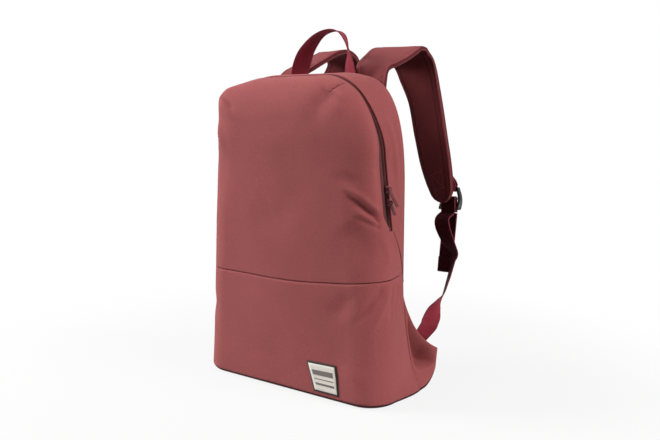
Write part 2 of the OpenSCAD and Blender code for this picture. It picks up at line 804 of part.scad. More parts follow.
module at_buckle() {
    multmatrix([
        [buckle_across[0], buckle_face[0], -buckle_down[0], buckle_top[0]],
        [buckle_across[1], buckle_face[1], -buckle_down[1], buckle_top[1]],
        [buckle_across[2], buckle_face[2], -buckle_down[2], buckle_top[2]],
        [0, 0, 0, 1]
    ]) children();
}

module buckle(left) {
    color(black)
        mirrored(left)
            at_buckle() {
                for (x = [-buckle_w / 2, buckle_w / 2 - rail_w])
                    translate([x, -buckle_t / 2, buckle_bar_r - buckle_l])
                        cube([rail_w, buckle_t, buckle_l]);
                for (k = [0 : 2])
                    translate([-buckle_w / 2 + rail_w / 2, 0, -k * bar_step])
                        rotate([0, 90, 0])
                            cylinder(r = buckle_bar_r, h = buckle_w - rail_w);
            }
}

module left_buckle() { buckle(true); }

module right_buckle() { buckle(false); }

// Strips bent round a bar: down one side, round the bar and up the other side
bend_r = buckle_bar_r + part_gap + web_t / 2;
bend_turns = [for (a = [0 : 22.5 : 180]) a];
bend_lead = 3;
keeper_lead = 9;

function buckle_point(face, up) = buckle_top + buckle_face * face - buckle_down * up;

function web_widths(points) = [for (p = points) web_w];

// Strip with one ring at each point of its route
module strip(route, lo, hi) {
    last = len(route[0]) - 1;
    sweep(strip_rings(route, 0, last, lo, hi, last));
}

// Keeper: webbing from the strap's outer face, round the top bar and back
keeper_t = pad_last - 1.4;
keeper_lift = 1.4;
keeper_seat = strip_frame(strap_route, keeper_t);

function keeper_start(off) = keeper_seat[0] - keeper_seat[3] * (pad_t / 2 + keeper_lift + off);

keeper_loop = concat(
    [for (up = [keeper_lead, bend_lead]) buckle_point(bend_r, up)],
    [for (a = bend_turns) buckle_point(bend_r * cos(a), -bend_r * sin(a))],
    [for (up = [bend_lead, keeper_lead]) buckle_point(-bend_r, up)]
);
keeper_points = concat([keeper_start(web_t / 2)], keeper_loop, [keeper_start(1.5 * web_t + part_gap)]);
keeper_turns = concat([keeper_seat[2]], [for (p = keeper_loop) buckle_across], [keeper_seat[2]]);
keeper_route = [keeper_points, keeper_turns, web_widths(keeper_points)];

module keeper(left) {
    color(webbing_red) mirrored(left) strip(keeper_route, -web_t / 2, web_t / 2);
}

module left_keeper() { keeper(true); }

module right_keeper() { keeper(false); }

// Webbing inside the buckle, over the middle bar and past the lower bar
wrap_below = 4;
wrap_end = 2 * bar_step + wrap_below;
wrap_points = concat(
    [buckle_point(bend_r, -wrap_end), buckle_point(bend_r, -bar_step - bend_lead)],
    [for (a = bend_turns) buckle_point(bend_r * cos(a), -bar_step + bend_r * sin(a))],
    [buckle_point(-bend_r, -bar_step - bend_lead), buckle_point(-bend_r, -wrap_end)]
);
wrap_route = [wrap_points, [for (p = wrap_points) buckle_across], web_widths(wrap_points)];

module webbing_wrap(left) {
    color(webbing_red) mirrored(left) strip(wrap_route, -web_t / 2, web_t / 2);
}

module left_webbing_wrap() { webbing_wrap(true); }

module right_webbing_wrap() { webbing_wrap(false); }

// Lower webbing from the wing, through a twist, up to the buckle
web_break = wrap_end + 3 * swing_gap;
web_top = buckle_point(bend_r, -web_break);
anchor_end = wing_anchor + wing_up * anchor_l;
web_sag = [
    [0.16, 3, 2], [0.27, 3, 11], [0.37, 5, 21], [0.51, 8, 27],
    [0.66, 10, 20], [0.78, 4, 7], [0.9, 0, -4], [0.96, -2, -5]
];
web_points = concat(
    [wing_anchor - wing_up * anchor_sewn, anchor_end],
    [for (o = web_sag) lerp(wing_anchor, web_top, o[0]) + [o[1], o[2], 0]],
    [web_top]
);
web_twist = [66, 104, 118, 128, 164, 172, 172, 171];
web_turns = concat([wing_edge, wing_edge], [for (a = web_twist) [cos(a), sin(a), 0]], [-buckle_across]);
web_route = [web_points, web_turns, web_widths(web_points)];
web_last = len(web_points) - 1;
web_steps = 44;
anchor_plane = [anchor_end, swing_axis];

module webbing_anchor(left) {
    color(webbing_red)
        mirrored(left)
            sweep(strip_rings(web_route, 0, 1, -web_t / 2, web_t / 2, 4, undef, anchor_plane));
}

module left_webbing_anchor() { webbing_anchor(true); }

module right_webbing_anchor() { webbing_anchor(false); }

module webbing(left) {
    color(webbing_red)
        mirrored(left)
            sweep(strip_rings(web_route, 1, web_last, -web_t / 2, web_t / 2, web_steps,
                [anchor_end - swing_axis * swing_gap, swing_axis], [web_top, buckle_down]));
}

module left_webbing() { webbing(true); }

module right_webbing() { webbing(false); }

// Free tail of the webbing, hanging behind the lower webbing
tail_top = buckle_point(-bend_r, -web_break);
tail_points = [for (o = [[0, 0, 0], [-3, 0, -28], [-6, -2, -58], [-8, -4, -88]]) tail_top + o];
tail_route = [tail_points, [for (p = tail_points) buckle_across], web_widths(tail_points)];
tail_steps = 14;

module webbing_tail(left) {
    color(webbing_red)
        mirrored(left)
            sweep(strip_rings(tail_route, 0, len(tail_points) - 1, -web_t / 2, web_t / 2, tail_steps,
                [tail_top, buckle_down]));
}

module left_webbing_tail() { webbing_tail(true); }

module right_webbing_tail() { webbing_tail(false); }

// Haul handle: a webbing arch on the top, its legs toed in
handle_y = back_y - leg_setback;
handle_foot = body_h + side_bulge + part_gap;
handle_shape = [[1, 0, 0], [0.93, 0.25, 0.22], [0.77, 0.58, 0.62], [0.43, 0.9, 0.9], [0, 1, 1]];
handle_sway = 3;
handle_twist = 8;
handle_half = len(handle_shape) - 1;
handle_steps = 32;

// Each key holds a side and shares of the leg's distance, the height and the turn
handle_keys = concat(
    [for (s = handle_shape) [-1, s]],
    [for (k = [handle_half - 1 : -1 : 0]) [1, handle_shape[k]]]
);

function handle_point(side, s) =
    let (up = s[1])
    [side * leg_x * s[0] + handle_sway * up, handle_y + handle_lean * up * up, handle_foot + handle_h * up];

function handle_turn(side, s) =
    let (a = 90 + handle_twist * s[2] + side * (90 - leg_toe) * (1 - s[2])) [cos(a), sin(a), 0];

handle_points = [for (e = handle_keys) handle_point(e[0], e[1])];
handle_turns = [for (e = handle_keys) handle_turn(e[0], e[1])];
handle_route = [handle_points, handle_turns, web_widths(handle_points)];
foot_plane = [[0, 0, handle_foot], [0, 0, 1]];

module haul_handle() {
    color(webbing_red)
        sweep(strip_rings(handle_route, 0, len(handle_points) - 1, -web_t / 2, web_t / 2, handle_steps,
            foot_plane, foot_plane));
}

// Label patch, bare, sewn low on the front
module label_patch() {
    left = label_x - label_w / 2;
    right = label_x + label_w / 2;
    color(label_cream)
        translate([0, front_y - touch, base_r + label_up])
            rotate([90, 0, 0])
                linear_extrude(label_t)
                    polygon([[left + label_slant, 0], [right + label_lean, 0],
                             [right, label_h], [left, label_h]]);
}

base_panel();
base_board();
lower_front_panel();
middle_front_panel();
gusset();
back_panel();
back_foam();
back_lining();
laptop_sleeve();
pocket_bag();
main_zip_tape_rear();
main_zip_teeth_rear();
side_zip_tapes();
side_zip_teeth();
zip_stops();
label_patch();
left_wing();
right_wing();
left_webbing_anchor();
right_webbing_anchor();
left_strap_root();
right_strap_root();
front_flap_panel();
main_zip_tape_front();
main_zip_teeth_front();
upper_slider();
upper_pull();
lower_slider();
lower_pull();
haul_handle();
left_strap_cover();
left_strap_foam();
left_strap_lining();
left_keeper();
left_webbing();
left_webbing_tail();
left_buckle();
left_webbing_wrap();
right_strap_cover();
right_strap_foam();
right_strap_lining();
right_keeper();
right_webbing();
right_webbing_tail();
right_buckle();
right_webbing_wrap();
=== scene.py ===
"""Travel backpack: fabric body with a zipped top flap, shoulder straps and a haul handle.

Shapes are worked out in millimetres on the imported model's own lines.
They are turned into metres when a mesh is made.
"""

import math

import bpy
import numpy as np
from mathutils import Matrix, Vector


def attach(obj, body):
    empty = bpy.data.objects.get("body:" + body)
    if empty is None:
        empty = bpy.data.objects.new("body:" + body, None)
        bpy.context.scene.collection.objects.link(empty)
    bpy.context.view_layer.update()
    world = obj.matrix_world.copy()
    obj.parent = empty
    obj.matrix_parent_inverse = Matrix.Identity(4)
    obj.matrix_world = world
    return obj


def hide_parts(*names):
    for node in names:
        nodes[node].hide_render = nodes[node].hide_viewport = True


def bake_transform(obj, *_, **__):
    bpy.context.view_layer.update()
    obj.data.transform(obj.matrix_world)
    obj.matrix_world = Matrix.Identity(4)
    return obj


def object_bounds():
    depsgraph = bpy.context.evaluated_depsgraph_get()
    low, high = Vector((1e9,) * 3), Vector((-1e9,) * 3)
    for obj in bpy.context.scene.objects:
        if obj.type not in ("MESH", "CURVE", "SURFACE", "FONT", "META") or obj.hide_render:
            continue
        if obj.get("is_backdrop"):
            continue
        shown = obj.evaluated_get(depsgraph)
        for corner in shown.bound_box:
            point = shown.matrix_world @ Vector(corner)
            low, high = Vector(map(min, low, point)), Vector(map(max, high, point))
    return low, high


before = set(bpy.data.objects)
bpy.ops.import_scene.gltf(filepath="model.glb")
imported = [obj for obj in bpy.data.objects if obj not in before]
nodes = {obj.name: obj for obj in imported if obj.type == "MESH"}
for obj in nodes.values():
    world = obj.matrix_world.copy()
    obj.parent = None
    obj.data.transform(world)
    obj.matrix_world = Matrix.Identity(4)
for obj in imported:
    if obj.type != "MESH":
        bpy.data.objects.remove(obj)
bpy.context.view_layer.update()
scene = bpy.context.scene

MM = 0.001
MIRROR = np.array([-1.0, 1.0, 1.0])

# Body sizes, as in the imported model
BODY_H = 430.0
TOP_HALF = 50.0
FOOT_HALF = 157.0
ZIP_END_HALF = 142.0
BACK_HALF = 130.0
BACK_FLARE = 24.0
FLARE_H = 155.0
BASE_R = 10.0
FRONT_Y = -63.0
RIM_Y = -19.2
WALL_DEPTH = RIM_Y - FRONT_Y
REAR_RIM_Y = -10.8
ZIP_Y = -15.0
BACK_Y = 40.0
CORNER_R = 42.0
CROWN_H = 372.0
ZIP_END_H = 228.0
RIM_LOW_H = ZIP_END_H + 0.4
ARCH_H = 322.0
ARCH_A = 81.0
ARCH_B = 108.0
BACK_ARCH_H = 266.0
BACK_ROUND = 2.7
SEAM_LOW_H = 150.0
SLIT_H = 157.0
SLIT_RISE = 9.0
SLIT_HALF = 0.65
PUFF = 10.0
PUFF_LOW_H = 200.0
PUFF_RISE = 180.0
WEB_W = 25.0
WEB_T = 1.6

# Thickness, softness and slack of the cloth
CLOTH_T = 1.6
REAR_FOOT = 0.1
CORNER_OUT = 5.0
CORNER_OUT_H = 40.0
WAIST = 2.4
WAIST_H = 235.0
WAIST_REACH = 60.0
SIDE_FULLNESS = 2.0
GUSSET_FULLNESS = 2.6
LEAN = 7.5
LEAN_RISE = 80.0
FULLNESS = 5.0
GROOVE_X, GROOVE_Y = 3.0, 6.8
TOP_DIP = 2.2
FULL_HALF_X = 122.0


# Numbers

def lerp(a, b, t):
    return a + (b - a) * t


def ease(t):
    s = np.clip(t, 0, 1)
    return s * s * (3 - 2 * s)


def unit(v):
    return v / np.maximum(np.linalg.norm(v, axis=-1, keepdims=True), 1e-12)


def power(v, e):
    return np.power(np.maximum(v, 0), e)


def xyz(x, y, z):
    """Points from their coordinates."""
    return np.stack(np.broadcast_arrays(x, y, z), -1)


def along(points, t):
    """Smooth curve through points; t counts the points."""
    points = np.asarray(points, float)
    t = np.asarray(t, float)
    last = len(points) - 1
    k = np.clip(np.floor(t).astype(int), 0, last - 1)
    f = (t - k).reshape(t.shape + (1,) * (points.ndim - 1))
    p0, p1 = points[np.maximum(k - 1, 0)], points[k]
    p2, p3 = points[k + 1], points[np.minimum(k + 2, last)]
    return 0.5 * (2 * p1 + (p2 - p0) * f + (2 * p0 - 5 * p1 + 4 * p2 - p3) * f ** 2
                  + (3 * p1 - p0 - 3 * p2 + p3) * f ** 3)


def resampled(line, count):
    """The same polyline with evenly spaced points."""
    line = np.asarray(line, float)
    length = np.concatenate([[0], np.cumsum(np.linalg.norm(np.diff(line, axis=0), axis=1))])
    at = np.linspace(0, length[-1], count)
    return np.stack([np.interp(at, length, line[:, k]) for k in range(line.shape[1])], 1)


def wobble(points, size, seed):
    """Smooth uneven value from -1 to 1 that varies over about size millimetres."""
    rng = np.random.default_rng(seed)
    waves = unit(rng.normal(size=(9, 3))) * (2 * np.pi / size) * rng.uniform(0.6, 1.3, (9, 1))
    phase = rng.uniform(0, 2 * np.pi, 9)
    return np.sin(points @ waves.T + phase).sum(-1) / 5


# Lines of the body

def base_inset(z):
    """How far the rounded foot of the wall draws in."""
    drop = BASE_R - np.minimum(z, BASE_R)
    return BASE_R - np.sqrt(np.maximum(BASE_R ** 2 - drop ** 2, 0))


def zip_half(z):
    """Half the width along the zip line."""
    z = np.asarray(z, float)
    low = np.interp(z, [0, ZIP_END_H, ARCH_H], [FOOT_HALF, ZIP_END_HALF, TOP_HALF + ARCH_A])
    rise = np.clip((z - ARCH_H) / ARCH_B, 0, 1) ** 2
    return np.where(z <= ARCH_H, low, TOP_HALF + ARCH_A * np.sqrt(1 - rise))


def back_half(z):
    """Half the width along the back seam."""
    z = np.asarray(z, float)
    low = BACK_HALF + BACK_FLARE * np.clip(1 - z / FLARE_H, 0, 1) ** 2
    rise = power(np.clip((z - BACK_ARCH_H) / (BODY_H - BACK_ARCH_H), 0, 1), BACK_ROUND)
    arch = TOP_HALF + (BACK_HALF - TOP_HALF) * power(1 - rise, 1 / BACK_ROUND)
    return np.where(z <= BACK_ARCH_H, low, arch)


def slit_z(u):
    """Height of the slit, which climbs towards the right-hand side."""
    return SLIT_H + SLIT_RISE * ease(u / 0.8)


def rear_share(z):
    """Share of the side wall that lies in front of the seam between zip end and back."""
    f = np.clip((z - SEAM_LOW_H) / (ZIP_END_H - SEAM_LOW_H), 0, 1)
    return (lerp(BACK_Y, REAR_RIM_Y, f) - RIM_Y) / (BACK_Y - RIM_Y)


def puff(z):
    """Extra fullness of the front corners towards the top."""
    return PUFF * ease((z - PUFF_LOW_H) / PUFF_RISE)


def waist(z):
    """Extra fullness of the side walls round the low end of the zip."""
    return WAIST * np.exp(-((z - WAIST_H) / WAIST_REACH) ** 2)


def wall_point(z, u):
    """Front and side wall below the arch: u 0 is the middle, 1 the zip line and 2 the back seam."""
    z, u = np.broadcast_arrays(np.asarray(z, float), np.asarray(u, float))
    a = np.abs(u)
    foot = base_inset(z) * lerp(1, REAR_FOOT, ease((a - 0.8) / 1.2))
    half, depth, r = zip_half(z) - foot, WALL_DEPTH - foot, CORNER_R - foot
    q = np.radians(180 * (np.clip(a, 0.5, 1) - 0.5))
    f = np.clip(a - 1, 0, 1)
    front_x = np.where(a <= 0.5, (half - r) * 2 * a, half - r + r * np.sin(q) + puff(z) * np.sin(2 * q))
    side_x = lerp(half, back_half(z) - foot, f)
    side_x = side_x + (SIDE_FULLNESS + waist(z)) * np.sin(np.pi * f)
    side_x = side_x + CORNER_OUT * f * ease(1 - z / CORNER_OUT_H)
    x = np.where(a <= 1, front_x, side_x) * np.where(u < 0, -1, 1)
    y = np.where(a <= 1, RIM_Y - depth * np.cos(q), lerp(RIM_Y, BACK_Y, f))
    return xyz(x, y, z)


def flap_point(a, q):
    """Right half of the front wall's top: a degrees up the arch, q 0 at the flat front and 90 at the zip."""
    a, q = np.broadcast_arrays(np.radians(np.asarray(a, float)), np.radians(np.asarray(q, float)))
    e = 1 - np.sin(q)
    across, up = np.cos(a), np.sin(a)
    z = ARCH_H + (ARCH_B - (BODY_H - CROWN_H) * e) * up
    x = TOP_HALF + (ARCH_A - CORNER_R * e) * across + puff(z) * across * np.sin(2 * q)
    return xyz(x, RIM_Y - WALL_DEPTH * np.cos(q), z)


def leaning(points):
    """The soft top sways a little to the left, most at the front."""
    x, y, z = np.moveaxis(points, -1, 0)
    return xyz(x - LEAN * ease((z - ARCH_H) / LEAN_RISE) * (1 - ease((y + 10) / 45)), y, z)


def opened(points):
    """The front wall's edge stands away from the zip along its sides and dips at the top."""
    x, y, z = np.moveaxis(points, -1, 0)
    away = ease((z - 229) / 21) * lerp(1, 0.1, ease((z - 295) / 110)) * ease((y + 52) / 30)
    sunk = TOP_DIP * ease((z - 402) / 22) * ease((y + 50) / 26)
    return xyz(x - GROOVE_X * away * np.sign(x), y - GROOVE_Y * away, z - sunk)


def slack(points):
    """Fullness and unevenness that the front walls share, so that they meet along the slit."""
    x, y, z = np.moveaxis(points, -1, 0)
    full = FULLNESS * np.cos(np.clip(x / FULL_HALF_X, -1, 1) * np.pi / 2) ** 2
    full = full * ease(z / 70) * ease((415 - z) / 90)
    return (full + wobble(points, 120, 3) * 0.8) * ease((-20 - y) / 15)


def rim_line(low, count):
    """Half of the zip's rim from height low up to the middle of the top, as x and z."""
    z = np.linspace(low, ARCH_H, 40)
    side = np.stack([zip_half(z), z], 1)
    a = np.radians(np.linspace(0, 90, 80)[1:])
    arch = np.stack([TOP_HALF + ARCH_A * np.cos(a), ARCH_H + ARCH_B * np.sin(a)], 1)
    return resampled(np.concatenate([side, arch, [[0, BODY_H]]]), count)


def full_rim(low, count):
    """The whole rim from the right low end over the top to the left, with its outward normals."""
    half = rim_line(low, 400)
    line = resampled(np.concatenate([half, half[-2::-1] * [-1, 1]]), count)
    g = unit(np.gradient(line, axis=0))
    return line, np.stack([g[:, 1], -g[:, 0]], 1)


# Meshes

def grid_quads(rows, cols):
    """Quads of a grid of points, row by row."""
    r, c = np.meshgrid(np.arange(rows - 1), np.arange(cols - 1), indexing="ij")
    a = (r * cols + c).ravel()
    return np.stack([a, a + 1, a + cols + 1, a + cols], 1)


def cloth_uv(grid):
    """Lengths along and across a grid of points, in metres, for the weave."""
    across = np.linalg.norm(np.diff(grid, axis=1), axis=2)
    up = np.linalg.norm(np.diff(grid, axis=0), axis=2)
    u = np.concatenate([np.zeros((grid.shape[0], 1)), np.cumsum(across, 1)], 1)
    v = np.concatenate([np.zeros((1, grid.shape[1])), np.cumsum(up, 0)], 0)
    return np.stack([u - u[:, -1:] / 2, v], -1) * MM


def weld(patches):
    """Points, quads and corner UVs of several grids joined where they meet."""
    points, quads, uvs, base = [], [], [], 0
    for grid in patches:
        quad = grid_quads(*grid.shape[:2])
        points.append(grid.reshape(-1, 3))
        uvs.append(cloth_uv(grid).reshape(-1, 2)[quad])
        quads.append(quad + base)
        base += len(points[-1])
    points = np.concatenate(points)
    key = np.floor(points / 0.02 + 0.137).astype(np.int64)
    _, first, inverse = np.unique(key, axis=0, return_index=True, return_inverse=True)
    return points[first], inverse.reshape(-1)[np.concatenate(quads)], np.concatenate(uvs)


def normals_of(points, quads):
    """Normals at the points of a mesh of quads."""
    face = np.cross(points[quads[:, 2]] - points[quads[:, 0]], points[quads[:, 3]] - points[quads[:, 1]])
    out = np.zeros_like(points)
    for k in range(4):
        np.add.at(out, quads[:, k], face)
    return unit(out)


def facing(points, quads, uvs, way):
    """The same quads, turned so that they mostly face a direction."""
    if (normals_of(points, quads) @ np.asarray(way, float)).mean() < 0:
        return points, quads[:, ::-1], uvs[:, ::-1]
    return points, quads, uvs


def turned_out(points, quads, uvs, middle_z):
    """Quads and UVs turned so that they face away from the bag's middle, with the normals of the points."""
    normals = normals_of(points, quads)
    if (normals * (points - [0, 0, middle_z])).sum(1).mean() < 0:
        return quads[:, ::-1], uvs[:, ::-1], -normals
    return quads, uvs, normals


def make(name, points, faces, mats, uvs=None, face_mats=None):
    """A smooth mesh object from points in millimetres."""
    mesh = bpy.data.meshes.new(name)
    mesh.from_pydata((np.asarray(points) * MM).tolist(), [], [list(map(int, f)) for f in faces])
    for m in mats:
        mesh.materials.append(m)
    if face_mats is not None:
        mesh.polygons.foreach_set("material_index", np.asarray(face_mats, np.int32))
    mesh.polygons.foreach_set("use_smooth", np.ones(len(mesh.polygons), bool))
    if uvs is not None:
        layer = mesh.uv_layers.new(name="cloth")
        layer.data.foreach_set("uv", np.asarray(uvs, np.float32).reshape(-1))
    mesh.update()
    obj = bpy.data.objects.new(name, mesh)
    scene.collection.objects.link(obj)
    return obj


def finished(obj):
    """Turns the object's modifiers into its mesh."""
    bpy.context.view_layer.update()
    mesh = bpy.data.meshes.new_from_object(obj.evaluated_get(bpy.context.evaluated_depsgraph_get()))
    obj.modifiers.clear()
    obj.data = mesh
    return obj


def thick(obj, thickness, inner):
    """Gives a sheet its thickness to the inside; inner is the material slot of the inside."""
    solid = obj.modifiers.new("cloth", "SOLIDIFY")
    solid.thickness = thickness * MM
    solid.offset = -1
    solid.use_rim = True
    solid.material_offset = inner
    return finished(obj)


def crease(points, normals, line, width, height, skew, ends):
    """Height of a fold along a line near the surface: a ridge, or a valley if height is below 0.

    Distances are taken along the surface; skew lifts one side more, and ends are the shares that fade out.
    """
    line = resampled(line, 40)
    best = np.full(len(points), np.inf)
    near = np.zeros(len(points), int)
    for k, p in enumerate(line):
        offset = points - p
        d = (offset ** 2).sum(1) - 0.95 * (offset * normals).sum(1) ** 2
        closer = d < best
        best[closer] = d[closer]
        near[closer] = k
    tangent = unit(np.gradient(line, axis=0))[near]
    offset = points - line[near]
    signed = (offset * np.cross(tangent, normals)).sum(1) / width
    t = near / (len(line) - 1)
    fade = ease(t / ends[0]) * ease((1 - t) / ends[1])
    return height * fade * np.exp(-best / width ** 2) * (1 + skew * np.clip(signed, -2, 2))


def cloth_piece(name, grid, way, mats, thickness):
    """A cloth from one grid of points that faces a direction; its last material is the inside's."""
    points, quads, uvs = facing(*weld([grid]), way)
    return thick(make(name, points, quads, mats, uvs), thickness, len(mats) - 1)


def pulled(points, pulls):
    """Points drawn towards places: each pull is a place, a reach and a move."""
    moved = points.copy()
    for place, reach, move in pulls:
        moved += np.exp(-((points - place) ** 2).sum(-1) / reach ** 2)[..., None] * np.array(move)
    return moved


def tube_faces(count, n, base=0, flip=False):
    """Faces of a tube through count rings of n points, with a cap at each end; flip turns them round."""
    row, col = np.divmod(grid_quads(count, n + 1), n + 1)
    faces = (row * n + col % n).tolist()
    faces += [list(range(n - 1, -1, -1)), list(range((count - 1) * n, count * n))]
    return [[base + k for k in (face[::-1] if flip else face)] for face in faces]


def assign(obj, slot, *nodes_replaced):
    """Hides the nodes that a piece stands for and gives the piece back; slot is not used."""
    if nodes_replaced:
        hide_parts(*nodes_replaced)
    return obj


def side_name(left):
    return "left" if left else "right"


def mirrored(points, left):
    return np.asarray(points) * MIRROR if left else np.asarray(points)


def swept(name, rings, mats, face_mat=None, left=False):
    """A closed skin through rings of points; face_mat gives the material of each step round the ring."""
    rings = np.asarray(rings)
    count, n = rings.shape[:2]
    steps = np.zeros(n, int) if face_mat is None else np.array(face_mat)
    if left:
        rings = mirrored(rings, True)[:, ::-1]
        steps = steps[(n - 2 - np.arange(n)) % n]
    looped = np.concatenate([rings, rings[:, :1]], 1)
    uv = cloth_uv(looped).reshape(-1, 2)[grid_quads(count, n + 1)]
    corners = np.concatenate([uv[:, ::-1].reshape(-1, 2), np.zeros((2 * n, 2))])
    ends = [int(np.bincount(steps).argmax())] * 2
    face_mats = list(np.tile(steps, count - 1)) + ends
    return make(name, rings.reshape(-1, 3), tube_faces(count, n, flip=True), mats, corners, face_mats)


def strip_frames(points, turns, t):
    """Centre, tangent, width direction and face normal of a flat strip at each t."""
    last = len(points) - 1
    g = unit(along(points, np.minimum(last, t + 0.02)) - along(points, np.maximum(0, t - 0.02)))
    w = along(turns, t)
    w = unit(w - (w * g).sum(1, keepdims=True) * g)
    return along(points, t), g, w, np.cross(g, w)


# Half of a webbing's section, from one edge to the other: share of the width, share of the thickness
WEB_SECTION = [(-0.5, 0.0), (-0.494, 0.3), (-0.47, 0.5), (-0.44, 0.5), (-0.42, 0.4), (-0.2, 0.42), (0, 0.44),
               (0.2, 0.42), (0.42, 0.4), (0.44, 0.5), (0.47, 0.5), (0.494, 0.3)]


def web_rings(frames):
    """Rings of a webbing strip with thickened selvedges."""
    half = np.array(WEB_SECTION)
    section = np.concatenate([half, -half]) * [WEB_W, WEB_T]
    p, _, w, n = frames
    return p[:, None] + section[None, :, :1] * w[:, None] + section[None, :, 1:] * n[:, None]


def webbing_piece(name, points, turns, span, left, face=None):
    """Webbing along points, over a span: first and last place and number of rings.

    Its two faces differ unless face gives one material for both; the darker face is a copy of the webbing
    with painted shade.
    """
    frames = strip_frames(np.asarray(points), np.asarray(turns), np.linspace(*span))
    # The edge faces take a lighter webbing: painted highlight along the edges.
    selvedge_painted_highlight = np.tile([2, 2, 2, *[0] * 6, 2, 2, 2], 2)
    # The middle of one face takes the webbing, and of the other the darker copy as painted shade.
    back = np.repeat([0, 1], len(WEB_SECTION)) * (selvedge_painted_highlight == 0)
    mats = [face or WEBBING_SHADED, face or WEBBING, SELVEDGE_HIGHLIGHT]
    return swept(name, web_rings(frames), mats, selvedge_painted_highlight + back, left)


def on_surface(obj, points):
    """Nearest points of a mesh and the normals there, in millimetres."""
    place, normal = [], []
    for p in np.asarray(points) * MM:
        _, at, n, _ = obj.closest_point_on_mesh(Vector(p))
        place.append(np.array(at) / MM)
        normal.append(np.array(n))
    return np.array(place), np.array(normal)


STITCH_PITCH = 3.4
STITCH_L = 2.5
STITCH_R = 0.34
# Rings of one stitch: share of half its length, lift off the surface and share of its thickness
STITCH_SHAPE = [(-1, -0.1, 0.35), (-0.6, 0.12, 0.95), (0.6, 0.12, 0.95), (1, -0.1, 0.35)]
SEAM_R = 0.48
SEAM_STEPS = 80


def stitches(name, lines, surface, mat):
    """Rows of thread stitches that lie on a surface; each line is a list of points near it."""
    points, faces = [], []
    ring = [(math.cos(a), math.sin(a)) for a in np.radians(np.arange(0, 360, 60))]
    for line in lines:
        line = np.asarray(line, float)
        length = np.linalg.norm(np.diff(line, axis=0), axis=1).sum()
        count = max(2, int(length / STITCH_PITCH) + 1)
        at, normal = on_surface(surface, resampled(line, count))
        tangent = unit(np.gradient(at, axis=0))
        for p, g, n in zip(at, tangent, normal):
            side = unit(np.cross(g, n))
            faces += tube_faces(len(STITCH_SHAPE), len(ring), len(points))
            for step, lift, r in STITCH_SHAPE:
                centre = p + g * step * STITCH_L / 2 + n * lift
                points += [centre + (side * x + n * y * 0.8) * STITCH_R * r for x, y in ring]
    return make(name, np.array(points), faces, [mat])


def seam_cord(name, line, surface, mat):
    """A dark line of sewing along a surface."""
    at, normal = on_surface(surface, resampled(line, SEAM_STEPS))
    across = unit(np.cross(normal, unit(np.gradient(at, axis=0))))
    angles = np.radians(np.arange(0, 360, 45))
    rings = [[p + (w * math.cos(a) + n * math.sin(a)) * SEAM_R for a in angles]
             for p, w, n in zip(at, across, normal)]
    return swept(name, rings, [mat])


# Materials

def material(name):
    mat = bpy.data.materials.new(name)
    mat.use_nodes = True
    tree = mat.node_tree
    tree.nodes.clear()
    out = tree.nodes.new("ShaderNodeOutputMaterial")
    shader = tree.nodes.new("ShaderNodeBsdfPrincipled")
    tree.links.new(shader.outputs["BSDF"], out.inputs["Surface"])
    return mat, tree, shader


def plug(tree, socket, value):
    """Links a socket to another one, or sets it to a constant."""
    if isinstance(value, bpy.types.NodeSocket):
        tree.links.new(value, socket)
    else:
        socket.default_value = value


def feed(tree, made, **values):
    """Links or sets the inputs of a node; _ stands for a space in their names."""
    for key, value in values.items():
        plug(tree, made.inputs[key.replace("_", " ")], value)


def node(tree, kind, **values):
    """A node with its properties, or its inputs where the name is an input's."""
    made = tree.nodes.new(kind)
    for key, value in values.items():
        if hasattr(made, key):
            setattr(made, key, value)
        else:
            feed(tree, made, **{key: value})
    return made


def math_node(tree, operation, *values):
    made = node(tree, "ShaderNodeMath", operation=operation)
    for socket, value in zip(made.inputs, values):
        plug(tree, socket, value)
    return made.outputs[0]


def colour_mix(tree, factor, a, b, mode="MIX"):
    made = node(tree, "ShaderNodeMix", data_type="RGBA", blend_type=mode)
    for k, value in ((0, factor), (6, a), (7, b)):
        plug(tree, made.inputs[k], value)
    return made.outputs[2]


def mix_shader(tree, factor, a, b):
    made = node(tree, "ShaderNodeMixShader")
    for socket, value in zip(made.inputs, (factor, a.outputs[0], b.outputs[0])):
        plug(tree, socket, value)
    return made


def tinted(tree, level, colour):
    """A colour times a grey level."""
    grey = node(tree, "ShaderNodeCombineColor", Red=level, Green=level, Blue=level)
    return colour_mix(tree, 1.0, colour, grey.outputs[0], "MULTIPLY")


def noise(tree, coords, scale, detail, stretch=(1, 1, 1)):
    place = node(tree, "ShaderNodeMapping", Vector=coords, Scale=stretch).outputs[0]
    return node(tree, "ShaderNodeTexNoise", Vector=place, Scale=scale, Detail=detail).outputs["Fac"]


def spread(tree, value, low, high, usual=(0.3, 0.7)):
    """Maps a value's usual range, a noise's unless given, to low and high."""
    return node(tree, "ShaderNodeMapRange", Value=value, From_Min=usual[0], From_Max=usual[1],
                To_Min=low, To_Max=high).outputs[0]


def bands(tree, coords, pitch, direction):
    """Sine bands of a pitch in millimetres along U (X) or V (Y)."""
    return node(tree, "ShaderNodeTexWave", wave_type="BANDS", bands_direction=direction, Vector=coords,
                Scale=math.pi / 10 / (pitch * MM), Distortion=0.0).outputs["Fac"]


def bump(tree, height, strength, distance):
    """Normals of a relief; distance is in millimetres."""
    return node(tree, "ShaderNodeBump", Height=height, Strength=strength, Distance=distance * MM).outputs[0]


def linear(rgb):
    """Scene colour of an sRGB triple from 0 to 255."""
    c = np.array(rgb, float) / 255
    return tuple(np.where(c <= 0.04045, c / 12.92, ((c + 0.055) / 1.055) ** 2.4)) + (1.0,)


